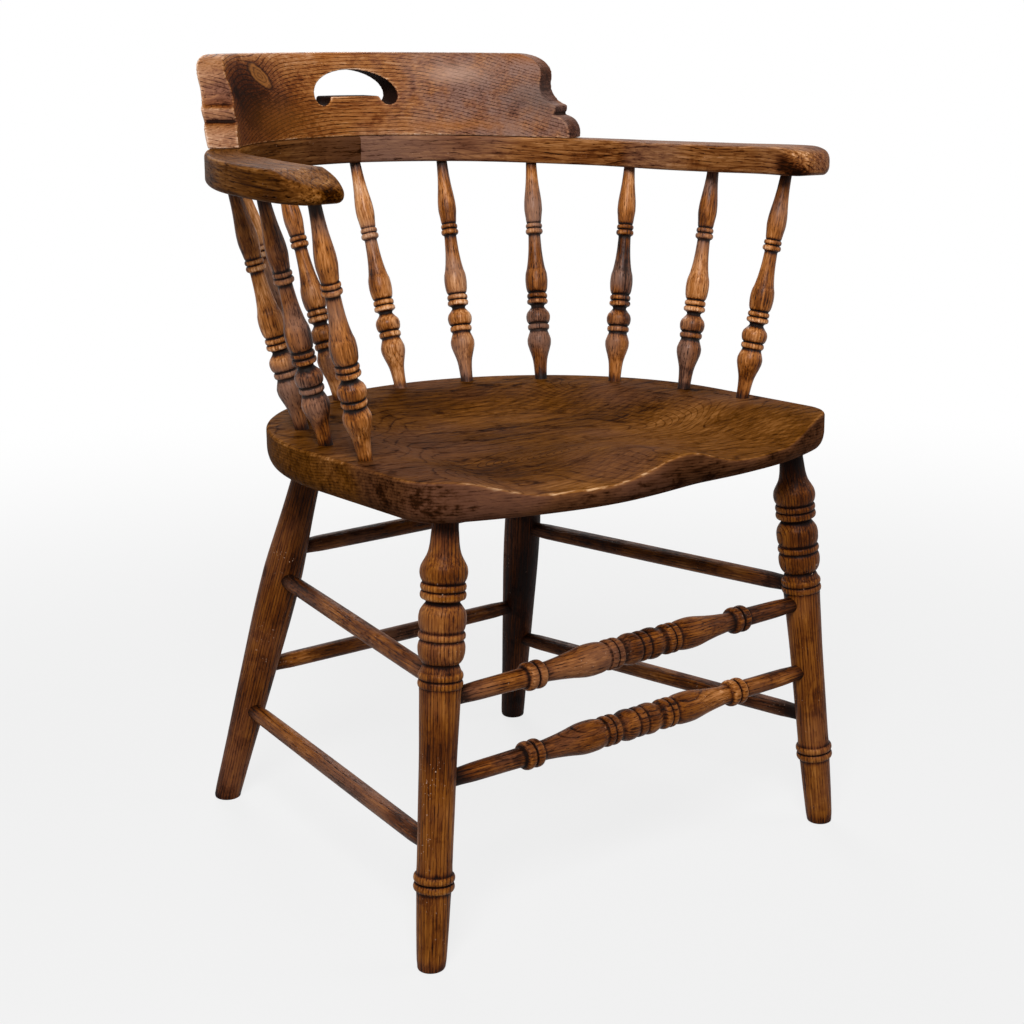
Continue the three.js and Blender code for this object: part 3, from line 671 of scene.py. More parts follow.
def seatHalf(shoulder):
    # a wide arc in front, a rounded corner and a straight side, then one long curve round the back
    s = seatSizes
    half, wide, corner = drawing["seatHalfWidth"], s["frontRadius"], s["corner"]
    centreY = drawing["seatFront"] + wide
    drop = sqrt((wide - corner) ** 2 - (half - corner) ** 2)
    start = degrees(atan2(-drop, half - corner))
    places = arc((0, centreY), (wide, wide), -90, start, 60)
    places += arc((half - corner, centreY - drop), (corner, corner), start, 0, 30)[1:]
    back = s["backCentre"] + s["backReach"]
    pulls = ((half, s["backCentre"]), (half, mix(s["backCentre"], back, shoulder)),
             (half * shoulder, back), (0, back))
    for t in [i / 80 for i in range(81)]:
        places.append(np.dot([(1 - t) ** 3, 3 * t * (1 - t) ** 2, 3 * t * t * (1 - t), t ** 3], pulls))
    places = np.array(places)
    reach = np.append(0, np.linalg.norm(np.diff(places, axis=0), axis=1).cumsum())
    even = np.linspace(0, reach[-1], s["outlineSteps"] + 1)
    return [Vector((*place, 0)) for place in zip(*[np.interp(even, reach, axis) for axis in places.T])]


def dishedHeight(place):
    s = seatSizes
    x, y = place[:2]
    forward = max(0, (s["backCentre"] - y) / (s["backCentre"] - drawing["seatFront"]))
    edge = drawing["seatHalfWidth"] - mix(s["dishMargin"], s["frontMargin"], forward)
    inside = edge - hypot(x, max(0, y - s["backCentre"]))
    ridge = exp(-((x / s["pommelWidth"]) ** 2)) * ease(-y, -s["pommelBack"], -drawing["seatFront"])
    return drawing["seatTop"] - s["dishDepth"] * ease(inside, 0, s["dishSlope"]) * (1 - ridge)


def undercut(place, out):
    # how far the underside lies in from the edge
    s = seatSizes
    away = (place.x - s["undercutX"]) / s["undercutWidth"]
    front = s["sideUndercut"] + s["pommelUndercut"] * exp(-away * away)
    return mix(s["sideUndercut"], front if out.y < 0 else s["backUndercut"], abs(out.y))


def seatPlank():
    s = seatSizes
    under = drawing["seatUnder"]
    left = [mirrored(place, -1) for place in seatHalf(s["leftShoulder"])[1:-1]]
    outline = [*seatHalf(s["rightShoulder"]), *reversed(left)]
    outs = []
    for i in range(len(outline)):
        along = outline[(i + 1) % len(outline)] - outline[i - 1]
        outs.append(Vector((along.y, -along.x, 0)).normalized())
    rings = []

    def addRing(inset, height):
        places = [place - out * inset(place, out) for place, out in zip(outline, outs)]
        rings.append([raised(place, height(place, out)) for place, out in zip(places, outs)])

    def arris(out):
        return mix(s["edgeRound"], s["backRound"], max(0, out.y))

    def curveHeight(place, out):
        curve = mix(s["sideCurve"], s["frontCurve"], ease(undercut(place, out), s["sideUndercut"], 30))
        return min(curve, (dishedHeight(place) - arris(out) - under) * 0.85)
    addRing(lambda p, o: undercut(p, o) + 3, lambda p, o: under)
    for turnBy in [pi / 2 * i / 12 for i in range(1, 13)]:    # up and out from the underside
        addRing(lambda p, o: undercut(p, o) * (1 - sin(turnBy)),
                lambda p, o: under + curveHeight(p, o) * (1 - cos(turnBy)) + 0.3)
    for turnBy in [pi / 2 * i / 6 for i in range(7)]:         # top arris
        addRing(lambda p, o: arris(o) * (1 - cos(turnBy)),
                lambda p, o: dishedHeight(p) - arris(o) * (1 - sin(turnBy)))
    middle = Vector((0, s["backCentre"], 0))
    rim = [raised(place, 0) for place in rings[-1]]
    for i in range(1, s["dishRings"]):
        places = [middle.lerp(place, (1 - i / s["dishRings"]) ** 1.08) for place in rim]
        rings.append([raised(place, dishedHeight(place)) for place in places])
    piece = growRings("seatPlank", rings, pole=True)
    markGrain(piece, places=cornersOf(piece)[:, [1, 2, 0]])
    paleSpots = []
    for i, x in enumerate(range(*s["wornFront"], 6)):
        y = drawing["seatFront"] + s["frontRadius"] - sqrt(s["frontRadius"] ** 2 - x * x)
        amount = max(0, (i * 37 % 11) / 11 - 0.15) * (0.9 if x < 20 else 0.5)
        paleSpots.append(((x, y + 2, dishedHeight((x, y)) - 1), 4.5, amount))
    markBendsAndSpots(piece, 0.08, 1, paleSpots, s["darkSpots"])
    # faces at the front that turn away from the top get more haze and are made darker
    front = np.clip((s["frontFrom"] - cornersOf(piece)[:, 1]) / s["frontFade"], 0, 1)
    front *= np.clip((0.8 - cornersOf(piece, "normal")[:, 2]) / 0.3, 0, 1)
    setMark(piece, "side", front)
    addToMark(piece, "dirtAndShade", front * s["frontDarkening"])
    finishPiece(piece, "seat", seatWood, Matrix(), angle=60)


seatPlank()
print("seat plank made")

# Arm bow

bowSizes = {
    "line": {"backRadius": 265.4, "centreY": -25.7, "joinAngle": 22.3, "sideRadius": 491.6, "length": 523},
    "backInner": 12.5, "backOuter": 21, "armInner": 26, "armOuter": 28.98, "widenStart": 270, "widenEnd": 410,
    "edge": 4, "seam": 0.02, "steps": 84, "tipSteps": 30,
    # how far the tip reaches past the last spindle, how it rounds in plan, and how its top is cut back
    "tips": {
        "left": {"reach": 26, "length": 38, "blunt": 0.2, "cutStart": 50, "cut": 15.5, "roll": 17, "lift": 7,
                 "drop": 2.5},
        "right": {"reach": 46, "length": 30, "blunt": 0.25, "cutStart": 34, "cut": 5, "roll": 14, "lift": 5,
                  "drop": 9},
    },
    "spots": {    # where hands have rubbed and dirt has settled, and on the right tip a painted highlight above painted shade: place in the bow's frame, width, strength
        "left": {"paleSpots": [((292, -112, 27), 12, 0.6), ((276, -140, 20), 6, 0.9)],
                 "darkSpots": [((281, -156, 9), 10, 0.8), ((10, 228, 14), 24, 0.15), ((0, 228, 14), 3, 0.7)]},
        # the pale spot on the right tip is a painted highlight, and the first two dark spots under it are
        # painted shade
        "right": {"paleSpots": [((262, -168, 20), 13, 1.0)],
                  "darkSpots": [((255, -149, 11), 9, 0.8), ((258, -164, 4), 11, 0.9), ((0, 228, 14), 2, 0.7)]},
    },
    # how far the right half has sagged, along its line
    "sag": [(0, 0), (120, -1.5), (250, -4), (340, -4.6), (430, -3.4), (523, -0.6), (575, 0)],
}
bowLine = bowSizes["line"]
sagLine = easedProfile(bowSizes["sag"], 5)


def sagAt(distance, side):
    return float(np.interp(distance, *zip(*sagLine))) if side > 0 else 0


def arcLine(distance, line):
    join = radians(line["joinAngle"])
    backLength = line["backRadius"] * (pi / 2 - join)
    onSide = distance > backLength
    radius = line["sideRadius"] if onSide else line["backRadius"]
    angle = pi / 2 - distance / line["backRadius"]
    if onSide:
        angle = join - (distance - backLength) / line["sideRadius"]
    inset = line["backRadius"] - line["sideRadius"] if onSide else 0
    out = Vector((cos(angle), sin(angle), 0))
    return Vector((inset * cos(join), line["centreY"] + inset * sin(join), 0)) + radius * out, out


def roundedSection(inner, outer, bottom, top, radius, steps=6):
    # four quarter rounds with three more points along the flat after each
    left, right = radius - inner, outer - radius
    low, high = bottom + radius, top - radius
    corners = [
        arc(place, (radius, radius), 180 + 90 * i, 270 + 90 * i, steps)
        for i, place in enumerate(((left, low), (right, low), (right, high), (left, high)))
    ]
    points = []
    for corner, following in zip(corners, corners[1:] + corners[:1]):
        points += corner
        points += [tuple(mix(a, b, j / 4) for a, b in zip(corner[-1], following[0])) for j in (1, 2, 3)]
    return points


screwSizes = {
    "stations": (0.1, 0.295, 0.43),    # along the bow's line
    "offset": 4, "recess": 4, "holeRadius": 4.7, "headRadius": 4.2, "headHeight": 3, "shankRadius": 2.2,
    "length": 50.3, "slot": (0.55, 1.1),
}


def screwPlace(share, side):
    distance = bowLine["length"] * share
    point, out = arcLine(distance, bowLine)
    place = point + out * screwSizes["offset"]
    return mirrored(raised(place, screwSizes["recess"] + sagAt(distance, side)), side)


def armRing(distance, tip, side):
    s = bowSizes
    point, out = arcLine(distance, bowLine)
    toEnd = distance - bowLine["length"] - tip["reach"]
    past, rolling, cut = (max(0, (toEnd + tip[key]) / tip[key]) for key in ("length", "roll", "cutStart"))
    width = mix(tip["blunt"], 1, sqrt(max(0, 1 - past ** 2)))
    rolled = 1 - sqrt(max(0, 1 - rolling ** 2))
    widen = ease(distance, s["widenStart"], s["widenEnd"])
    inner = mix(s["backInner"], s["armInner"], widen) * width
    outer = mix(s["backOuter"], s["armOuter"], widen) * width
    top = drawing["bowThickness"] - tip["cut"] * cut ** 1.08 - tip["drop"] * rolled
    bottom = tip["lift"] * rolled
    radius = min(mix(s["edge"], 9, ease(cut, 0, 1)), inner * 0.98, (top - bottom) * 0.49)
    section = roundedSection(inner, outer, bottom, top, radius)
    drop = sagAt(distance, side)
    ring = [mirrored(raised(point + out * across, up + drop), side) for across, up in section]
    return ring, [(across, up, distance) for across, up in section]


def arm(sideName, side):
    s = bowSizes
    tip = s["tips"][sideName]
    armEnd = bowLine["length"] + tip["reach"]
    tipStart = armEnd - tip["length"]
    distances = [mix(s["seam"], tipStart, i / s["steps"]) for i in range(s["steps"])]
    shares = [sin(pi / 2 * i / s["tipSteps"]) for i in range(s["tipSteps"] + 1)]
    distances += [mix(tipStart, armEnd, share) for share in shares]
    rings, marks = zip(*[armRing(distance, tip, side) for distance in distances])
    for place in rings[0]:
        place.x = s["seam"] * side
    piece = growRings(f"armBow_{sideName}", rings)
    places, marks = sum(rings, []), sum(marks, [])
    tree = kdtree.KDTree(len(places))
    for i, place in enumerate(places):
        tree.insert(place, i)
    tree.balance()
    circle = arc((0, 0), (screwSizes["holeRadius"],) * 2, 0, 360, 28)[:-1]
    holes = [screwPlace(share, side) for share in screwSizes["stations"]]
    for hole in holes:
        cutOut(piece, growRings("holeCutter", [
            [hole + Vector((x, y, up)) for x, y in circle] for up in (-12, screwSizes["headHeight"] + 0.2)]))
    markGrain(piece, (0.02 * side, 0, 0.7), [marks[tree.find(corner)[1]] for corner in cornersOf(piece)])
    paleSpots, darkSpots = (
        [(mirrored(place, side), width, amount) for place, width, amount in s["spots"][sideName][kind]]
        for kind in ("paleSpots", "darkSpots"))
    darkSpots += [(hole, 5, 1) for hole in holes]
    markBendsAndSpots(piece, spread=4, paleSpots=paleSpots, darkSpots=darkSpots)
    finishPiece(piece, f"arm_{sideName}", bowWoods[sideName], bowFrame)


for sideName, side in sides.items():
    arm(sideName, side)
print("arm bow made")

# Crest rail

crestSizes = {
    "height": 87, "gap": 0.3, "span": 62, "steps": 120, "voxel": 1.3,
    # radius and lean of each face, and the share of its lean that it has at shares of the height
    "inner": (255.3, 24, [(0, 0), (0.22, 0.1), (0.5, 0.36), (0.75, 0.68), (0.95, 0.96), (1, 1.14)]),
    "outer": (284.6, 16.5, [(0, 0), (0.45, 0.5), (0.72, 0.8), (0.95, 1), (1, 0.9)]),
    "endAngle": 24, "endX": 207.9, "endY": 122.4, "trims": {-1: 0, 1: 4},
    "noses": {
        -1: [(17.4, 28), (16.8, 33), (17.6, 36.6), (21, 38.4), (27, 40), (32, 44.5), (36, 50.5)],
        1: [(17.8, 27.4), (17.5, 31), (18.6, 33.6), (23, 35), (28.5, 38), (33.5, 43.5), (37, 49.5)],
    },
    "holdBase": 43.5, "moon": (52.7, 25.5), "lobe": (11, 11), "lobeX": 41.7,
    "holdWalls": (56, 60, 100), "endWalls": 100,     # where their painted shade and light go: within, above, below; beyond
    "holdPaintedShade": 1.3, "leftEndPaintedLight": -0.2, "rightEndPaintedShade": 0.5,
    # degrees from the middle, how far out and up, width, strength
    # the wide pale spot at 20 degrees is a painted highlight on the inner face
    "paleSpots": [*[(-2.4 * i, 281, 112, 6, 0.5) for i in range(4, 20)], (48, 275, 112, 10, 0.6),
               (20, 262, 85, 45, 0.25)],
    # the strong dark spot at -40 degrees is painted shade on the left of the inner face
    "darkSpots": [(-40, 262, 66, 56, 0.95), (-20, 258, 50, 60, 0.15)],
}
crestBase = drawing["bowThickness"] + crestSizes["gap"]


def crestFace(kind):
    radius, lean, shares = crestSizes[kind]
    return easedProfile([(share * crestSizes["height"], radius + lean * part) for share, part in shares], 3)


def prism(name, outline, matrix, depth):
    # an outline in X and Z pushed through along Y, both ways
    return growRings(name, [[matrix @ Vector((x, y, z)) for x, z in outline] for y in (-depth, depth)])


def crestEnd(side):
    # all that lies past the sawn end: a quarter round, a nose, a hollow and a round top corner
    s = crestSizes
    outline = [(-120, -8), (0, -8), *arc((21, 2.5), (21, 21), 180, 90, 14), (19.3, 24.8), *s["noses"][side]]
    outline += [(38.2, 56), (38.2, 62), *arc((74, 62), (36, 25), 180, 90, 20), (74, 95), (-120, 95)]
    saw = radians(s["endAngle"])
    places = (-sin(saw), cos(saw), 0), (cos(saw), sin(saw), 0), (s["endX"], s["endY"], crestBase)
    along, through, start = (mirrored(place, side) for place in places)
    turned = Matrix((along, through, (0, 0, 1))).transposed().to_4x4()
    return prism("endCutter", outline, Matrix.Translation(start + along * s["trims"][side]) @ turned, 95)


def handHold():
    # a half moon whose flat base dips into a round lobe at each end
    s = crestSizes
    low, lobeX = s["holdBase"], s["lobeX"]
    outline = [*arc((0, low), s["moon"], 0, 180, 36), *arc((-lobeX, low), s["lobe"], 180, 350, 14),
               *arc((lobeX, low), s["lobe"], 190, 360, 14)[:-1]]
    return prism("holdCutter", outline, Matrix.Translation((0, 245, crestBase)), 80)


def crestRail():
    s = crestSizes
    centreY = bowLine["centreY"]
    section = [*crestFace("inner"), *reversed(crestFace("outer"))]
    rings = []
    for i in range(s["steps"] + 1):
        angle = radians(90 - s["span"] + 2 * s["span"] * i / s["steps"])
        rings.append([Vector((out * cos(angle), centreY + out * sin(angle), crestBase + up))
                      for up, out in section])
    piece = growRings("crestRail", rings)
    for cutter in (crestEnd(-1), crestEnd(1), handHold()):
        cutOut(piece, cutter)
    applyModifier(piece, "REMESH", mode="VOXEL", voxel_size=s["voxel"], adaptivity=0)
    for vert in piece.data.vertices:      # the rail sits down on the sagging half of the bow
        distance = bowLine["backRadius"] * atan2(vert.co.x, vert.co.y - centreY)
        fade = 1 - 0.7 * (vert.co.z - drawing["bowThickness"]) / s["height"]
        vert.co.z += sagAt(max(0, distance), 1) * fade
    applyModifier(piece, "SMOOTH", factor=0.5, iterations=5)
    markGrain(piece, (0, drawing["bowHeight"] * mm, 0), cornersOf(piece)[:, [1, 2, 0]])

    def spots(kind):
        for angle, out, up, width, amount in s[kind]:
            turned = radians(angle)
            yield (out * sin(turned), centreY + out * cos(turned), up), width, amount
    markBendsAndSpots(piece, 0.06, 2, spots("paleSpots"), spots("darkSpots"))
    x, y, z = cornersOf(piece).T
    faceX, faceY = cornersOf(piece, "normal").T[:2]
    wide, low, high = s["holdWalls"]
    inHold = (np.abs(x) < wide) & (z > low) & (z < high)
    # the walls of the hand hold are darkened as painted shade
    addToMark(piece, "dirtAndShade", np.clip(1 - np.abs(faceY) * 1.6, 0, 1) * inHold * s["holdPaintedShade"])
    turned = np.arctan2(x, y - centreY)
    ends = np.clip(np.abs(faceX * np.cos(turned) - faceY * np.sin(turned)) * 1.8 - 0.6, 0, 1)
    inward = -faceX * np.sin(turned) - faceY * np.cos(turned)
    leftEnd, rightEnd = ends * (x < -s["endWalls"]), ends * (x > s["endWalls"])
    setMark(piece, "front", np.clip(inward * 2, 0, 1))
    setMark(piece, "side", leftEnd)
    # the left sawn end is lightened as painted light and the right one darkened as painted shade
    addToMark(piece, "dirtAndShade", leftEnd * s["leftEndPaintedLight"] + rightEnd * s["rightEndPaintedShade"])
    finishPiece(piece, "crest_rail", crestWood, bowFrame, angle=80)


crestRail()
print("crest rail made")

# Spindles

spindleSizes = {
    "footLine": {"backRadius": 223.9, "centreY": -61.4, "joinAngle": 8.1, "sideRadius": 1208, "length": 410},
    "feet": {"left": (0.225, 0.4015, 0.608, 0.806, 0.995), "right": (0.195, 0.396, 0.598, 0.8125, 1.0075)},
    "tops": {"left": (0.211, 0.405, 0.622, 0.8185, 1), "right": (0.198, 0.389, 0.6075, 0.809, 1)},
    "sides": 36, "length": 245, "sunk": 9,
    "darkEnds": [(0, 6, 0.35), (245, 12, 0.45)],     # place along it, width, strength
    "deeper": {"spindle_right_3": 3, "spindle_right_4": 7},    # tops let further into the bow
    "darker": {"spindle_left_4": 0.12, "spindle_centre": -0.13, "spindle_right_3": 0.06},
}
spindleShares = [
    (0, 6.6), (0.021, 6.7), (0.051, 7.1), (0.085, 8), (0.11, 9.5), (0.136, 11.5), (0.161, 12.9), (0.174, 13),
    (0.191, 12), (0.205, 10.8), (0.216, 9.9), *bead(0.2205, 0.2455, 10.3, 11.9), (0.2475, 10.2),
    (0.2525, 11.5), (0.263, 12.7), (0.28, 13.2), (0.297, 12.2), (0.314, 9), (0.326, 7.2), (0.333, 7.9),
    *bead(0.3375, 0.3605, 9.6, 11.5), *bead(0.3625, 0.3855, 9.6, 11.2), (0.3875, 9.4), (0.395, 10.6),
    (0.412, 11.7), (0.445, 12.3), (0.4746, 11.8), (0.5, 10.2), (0.53, 8.9), (0.559, 8), (0.593, 7.3),
    (0.627, 6.9), (0.652, 6.7), *bead(0.657, 0.681, 7.6, 9.5), *bead(0.683, 0.704, 7.6, 9.1), (0.712, 8.2),
    (0.735, 8.9), (0.775, 9.9), (0.802, 9.7), (0.8305, 9), (0.8686, 7.8), (0.9, 7), (0.932, 6.4), (1, 5.8),
]


def spindles():
    s = spindleSizes
    points = [(share * s["length"], radius) for share, radius in spindleShares]
    points = [(-s["sunk"], points[0][1]), *points, (s["length"] + s["sunk"], points[-1][1])]
    master = turn("spindleMaster", points, s["sides"], darkEnds=s["darkEnds"])
    places = [("spindle_centre", 0, 0, 1)]
    for sideName, side in sides.items():
        for i, (foot, top) in enumerate(zip(s["feet"][sideName], s["tops"][sideName])):
            places.append((f"spindle_{sideName}_{i + 1}", foot, top, side))
    for i, (node, foot, top, side) in enumerate(places):
        start, end = (
            mirrored(arcLine(line["length"] * share, line)[0], side)
            for line, share in ((s["footLine"], foot), (bowLine, top)))
        start.z = drawing["seatTop"]
        end = bowFrame @ end
        end += (end - start).normalized() * s["deeper"].get(node, 0)
        piece = copyOf(master, "turned_" + node)
        offset = (0.007 * (i % 3), 0.011 * (i % 4), 0.31 * i)
        turnedGrain(piece, start, end, lookAcross, 37 * i % 50 - 25, offset)
        addToMark(piece, "dirtAndShade", s["darker"].get(node, 0))
        stretch = (end - start).length / s["length"]
        finishPiece(piece, node, spindleWood, layAlong(start, end, stretch))
    bpy.data.objects.remove(master)


spindles()
print("spindles made")

# Legs

legSizes = {
    "frontFoot": (250, -228, 0), "frontTop": (212, -210), "rearFoot": (198, 228, 0), "rearTop": (139, 117),
    "sides": 48, "sunk": 12, "spare": 25, "darkTop": (22, 0.6), "darkFoot": (8, 0.35),
    # how much the rear legs are darkened as painted shade under the seat
    "rearPaintedShade": {"left": 0.15, "right": 0.4},
    "sawn": 4, "footSteps": ((2, 0.985), (1.2, 0.96), (0.6, 0.93), (0.2, 0.93)),    # down, then in
}
frontLegLine = [
    (0, 12.4), (9, 13.3), (25, 14), (45, 14.7), (60, 15.1), (70, 15.5), *bead(72.3, 79.6, 16.2, 18.4),
    *bead(80.2, 87.5, 16.4, 18.5), (88.3, 16.1), (95, 15.8), (140, 16.2), (190, 16.7), (228, 17.7),
    (250, 18.3), (253.6, 18.5), *bead(254.6, 261.3, 18.4, 20), *bead(261.9, 268.6, 18.2, 19.9), (270.2, 17.6),
    (272.6, 16.6), (275.6, 15.6), (277, 17.2), (280.5, 19.3), (286, 20.6), (290, 20.8), (294, 20.1),
    (296.6, 18.9), *bead(297.2, 303.6, 18.9, 20.8), (304.4, 18.9), (307, 19.9), (311, 20.7), (316, 20.9),
    (321, 20.1), (325, 18), (327.4, 16.2), (329.6, 14.8), (331.4, 16.4), *bead(332.4, 339.3, 18.3, 20.2),
    *bead(339.9, 346.4, 18.2, 20.1), (347.6, 18.7), (351, 20.3), (355.5, 21), (360, 20.4), (364, 18.6),
    (368, 16.4), (371.5, 14.8), (376, 13.6), (381, 12.8), (388, 12.2), (396, 11.6),
]
rearLegLine = [
    (0, 13.4), (10, 13.9), (48, 14.8), (70, 15.4), (120, 17.1), (173, 18.7), (205, 19.7), (232, 20.3),
    (255, 20.5), (275, 20.4), (290, 19.8), (317, 18.1), (349, 16.2), (380, 14.9), (405, 14.2),
]


def legEnds(end, side):
    top = (*legSizes[end + "Top"], drawing["seatUnder"])
    return mirrored(legSizes[end + "Foot"], side), mirrored(top, side)


def legs():
    s = legSizes
    for end, line in (("front", frontLegLine), ("rear", rearLegLine)):
        foot, top = legEnds(end, 1)
        length = (top - foot).length
        points = [(-s["spare"], line[0][1]), *line, (length + s["sunk"], line[-1][1])]
        darkEnds = [(length, *s["darkTop"]), (0, *s["darkFoot"])]
        master = turn(end + "LegMaster", points, s["sides"], darkEnds=darkEnds)
        for sideName, side in sides.items():
            start, finish = legEnds(end, side)
            piece = copyOf(master, f"turned_{end}_leg_{sideName}")
            offset = (0.013 * side, 0.01, 0.5 * side + (0.9 if end == "rear" else 0))
            turnedGrain(piece, start, finish, lookAcross, 12 * side, offset)
            # painted shade on the rear legs
            addToMark(piece, "dirtAndShade", s["rearPaintedShade"][sideName] if end == "rear" else 0)
            piece.data.transform(layAlong(start, finish))
            pick(piece)
            bpy.ops.object.mode_set(mode="EDIT")     # the foot is sawn level with the floor
            bpy.ops.mesh.select_all(action="SELECT")
            bpy.ops.mesh.bisect(
                plane_co=(0, 0, s["sawn"]), plane_no=(0, 0, 1), use_fill=True, clear_inner=True)
            for drop, narrow in s["footSteps"]:
                extrude((0.1 * drop * side, 0, -drop), narrow)
            bpy.ops.object.mode_set(mode="OBJECT")
            finishPiece(piece, f"{end}_leg_{sideName}", legWood, Matrix())
        bpy.data.objects.remove(master)


legs()
print("legs made")

# Stretchers

stretcherSizes = {
    "radius": 8.6, "endRadius": 7.8, "taper": 40, "sides": 32, "darkEnds": (26, 0.7),
    "rails": {     # which leg, side and height at each end, and how far the turned middle lies off centre
        "front_stretcher_upper": (("front", -1, 241), ("front", 1, 241), 4.5),
        "front_stretcher_lower": (("front", -1, 168), ("front", 1, 168), -1.5),
        "rear_stretcher_upper": (("rear", -1, 288), ("rear", 1, 288), None),
        "rear_stretcher_lower": (("rear", -1, 154), ("rear", 1, 154), None),
        "side_stretcher_upper_left": (("front", -1, 257.5), ("rear", -1, 257.5), None),
        "side_stretcher_upper_right": (("front", 1, 257.5), ("rear", 1, 257.5), None),
        "side_stretcher_lower_left": (("front", -1, 109.5), ("rear", -1, 107.5), None),
        "side_stretcher_lower_right": (("front", 1, 117), ("rear", 1, 110.5), None),
    },
}
halfTurning = [
    *bead(-4.6, 4.6, 13.4, 14.6)[4:], (5.4, 13.3), (7.5, 14.3), (11, 15), (14.4, 15.1), (18.5, 14.3),
    (22, 12.9), (25, 12), (27.6, 12.6), *bead(28.6, 35.7, 13.2, 14.7), *bead(36.3, 43.4, 13.2, 14.7),
    (44.8, 13), (48, 13.9), (54, 14.9), (62, 15.2), (68, 15), (77, 13.8), (84, 12.6), (91, 11.6), (98, 10.7),
    (106, 9.9), (113, 9.3), (117.5, 9.6), *bead(119.5, 128.6, 11, 13.3), *bead(129.4, 138.4, 11, 13.3),
    (140, 9.2),
]


def onLeg(end, side, height):
    foot, top = legEnds(end, side)
    return foot.lerp(top, height / drawing["seatUnder"])


def stretchers():
    s = stretcherSizes
    for i, (node, (first, second, shift)) in enumerate(s["rails"].items()):
        start, end = onLeg(*first), onLeg(*second)
        half = (end - start).length / 2
        thin = s["endRadius"]
        taper = [(half - s["taper"], s["radius"]), (half - s["taper"] / 2, thin), (half - 4, thin)]
        middle, step = [(0, s["radius"] + 0.3)], 6
        if shift is not None:
            middle = [(-place + shift, radius) for place, radius in reversed(halfTurning[1:])]
            middle += [(place + shift, radius) for place, radius in halfTurning]
            step = 1.3
        points = [*[(-place, radius) for place, radius in reversed(taper)], *middle, *taper]
        darkEnds = [(place, *s["darkEnds"]) for place in (-half, half)]
        piece = turn("turned_" + node, points, s["sides"], step, darkEnds)
        turnedGrain(piece, start, end, Vector((0, 0, 1)), 31 * i % 40 - 20, (0.009 * i, 0.004 * i, 0.7 * i))
        finishPiece(piece, node, stretcherWood, layAlong((start + end) / 2, end))


stretchers()
print("stretchers made")

# Screws that hold the crest rail, seen from below

def screws():
    s = screwSizes
    steel = screwFinish()
    head, shank = s["headRadius"], s["shankRadius"]
    points = [(0, head - 0.4), (0.4, head), (1.2, head), (s["headHeight"], shank), (s["length"] - 4, shank),
              (s["length"], 0.5)]
    master = turn("screwMaster", points, 32, 2)
    half, deep = s["slot"]
    cutOut(master, prism("slotCutter", [(-half, -2), (half, -2), (half, deep), (-half, deep)], Matrix(), 10))
    for sideName, side in sides.items():
        for i, share in enumerate(s["stations"]):
            piece = copyOf(master, f"slotted_{sideName}_{i + 1}")
            turned = Matrix.Rotation(radians(47 * i + 20 * side), 4, "Z")
            finishPiece(piece, f"crest_screw_{sideName}_{i + 1}", steel,
                        bowFrame @ Matrix.Translation(screwPlace(share, side)) @ turned, angle=30)
    bpy.data.objects.remove(master)


screws()
print("screws made")

# Floor, light and camera

studio = {
    "floorRadius": 9, "clearFrom": 0.6, "clearTo": 2.4, "floorTone": 0.36, "nearClear": 0.8,
    "lamps": [   # place, size, watts, aimed at the seat
        ((-1.7, -1.9, 2.6), 1.4, 134),
        ((2.0, -1.6, 1.5), 1.4, 16),
        ((0.9, 2.3, 2.2), 1.6, 44),
    ],
    "aim": (0, 0, 0.42), "worldLight": 0.1,
}


def seenRay(finish):
    # one for what the camera sees, straight or in a reflection or through glass
    camera, glossy, through = (
        finish.node("LightPath", output=f"Is {kind} Ray") for kind in ("Camera", "Glossy", "Transmission"))
    return finish.math("MAXIMUM", finish.math("MAXIMUM", camera, glossy), through)


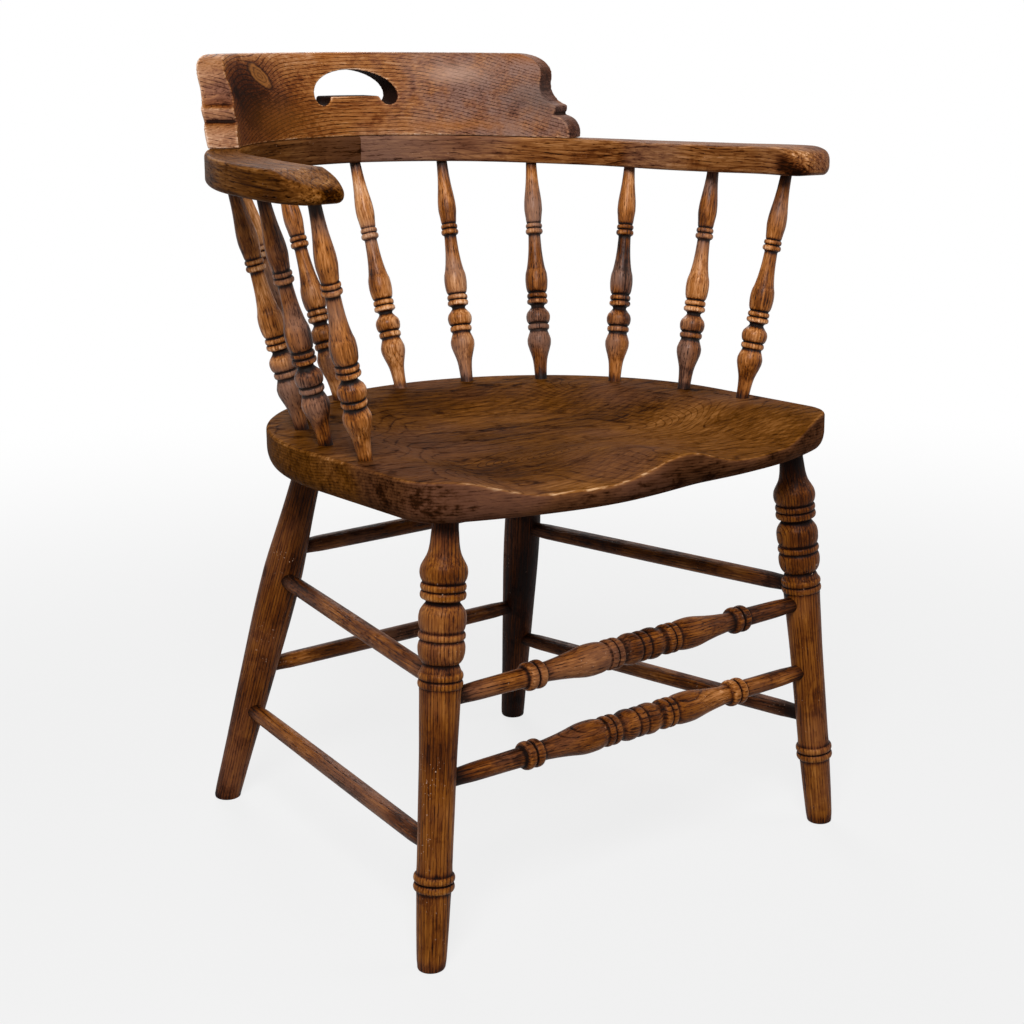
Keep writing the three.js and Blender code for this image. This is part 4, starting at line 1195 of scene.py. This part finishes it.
def floor():
    bpy.ops.mesh.primitive_circle_add(vertices=96, radius=studio["floorRadius"], fill_type="NGON")
    plane = bpy.context.object
    plane.name = "floor"
    finish = Finish("floorWhite")
    place = finish.node("TexCoord", output="Object")
    reach = finish.node("VectorMath", {"operation": "LENGTH"}, {0: place}, output="Value")
    clear = finish.between(reach, studio["clearFrom"], studio["clearTo"], studio["nearClear"], 1.0)
    clear = clear * seenRay(finish)
    paint = finish.node("BsdfDiffuse", inputs={"Color": (studio["floorTone"],) * 3 + (1,)})
    glow = finish.node("Emission", inputs={"Color": (1, 1, 1, 1), "Strength": 1.0})
    finish.surface(finish.node("MixShader", inputs={0: clear, 1: paint, 2: glow}))
    plane.data.materials.append(finish.material)


def world():
    room = bpy.data.worlds.new("studio")
    scene.world = room
    room.use_nodes = True
    finish = Finish("studio", room)
    light = finish.node("Background", inputs={"Color": (1, 1, 1, 1), "Strength": studio["worldLight"]})
    white = finish.node("Background", inputs={"Color": (1, 1, 1, 1), "Strength": 1.0})
    finish.surface(finish.node("MixShader", inputs={0: seenRay(finish), 1: light, 2: white}), "OutputWorld")


def lamps():
    for i, (place, size, watts) in enumerate(studio["lamps"]):
        data = bpy.data.lights.new(f"lamp_{i}", "AREA")
        data.shape = "DISK"
        data.size = size
        data.energy = watts
        lamp = bpy.data.objects.new(data.name, data)
        scene.collection.objects.link(lamp)
        lamp.location = place
        lamp.rotation_euler = (Vector(studio["aim"]) - lamp.location).to_track_quat("-Z", "Y").to_euler()


camera = {
    "azimuth": -38.33, "elevation": 12.96, "roll": -0.54, "distance": 1863.47,
    "target": (40.88, 0, 361.36),    # in the drawing
    "focus": 1807.14, "middle": (525.06, 476.73), "image": 1024,   # pixels
}


def makeCamera():
    c = camera
    aim = (
        Matrix.Rotation(radians(c["azimuth"]), 4, "Z")
        @ Matrix.Rotation(radians(90 - c["elevation"]), 4, "X")
        @ Matrix.Rotation(radians(c["roll"]), 4, "Z")
    )
    place = Vector(c["target"]) + aim @ Vector((0, 0, c["distance"]))
    data = bpy.data.cameras.new("photoCamera")
    data.sensor_width = 36
    data.lens = data.sensor_width * c["focus"] / c["image"]
    data.shift_x = 0.5 - c["middle"][0] / c["image"]
    data.shift_y = c["middle"][1] / c["image"] - 0.5
    eye = bpy.data.objects.new("photoCamera", data)
    scene.collection.objects.link(eye)
    eye.matrix_world = Matrix.Translation(toScene @ place) @ aim
    scene.camera = eye


floor()
world()
lamps()
makeCamera()
scene.view_settings.view_transform = "Standard"
print("studio made")
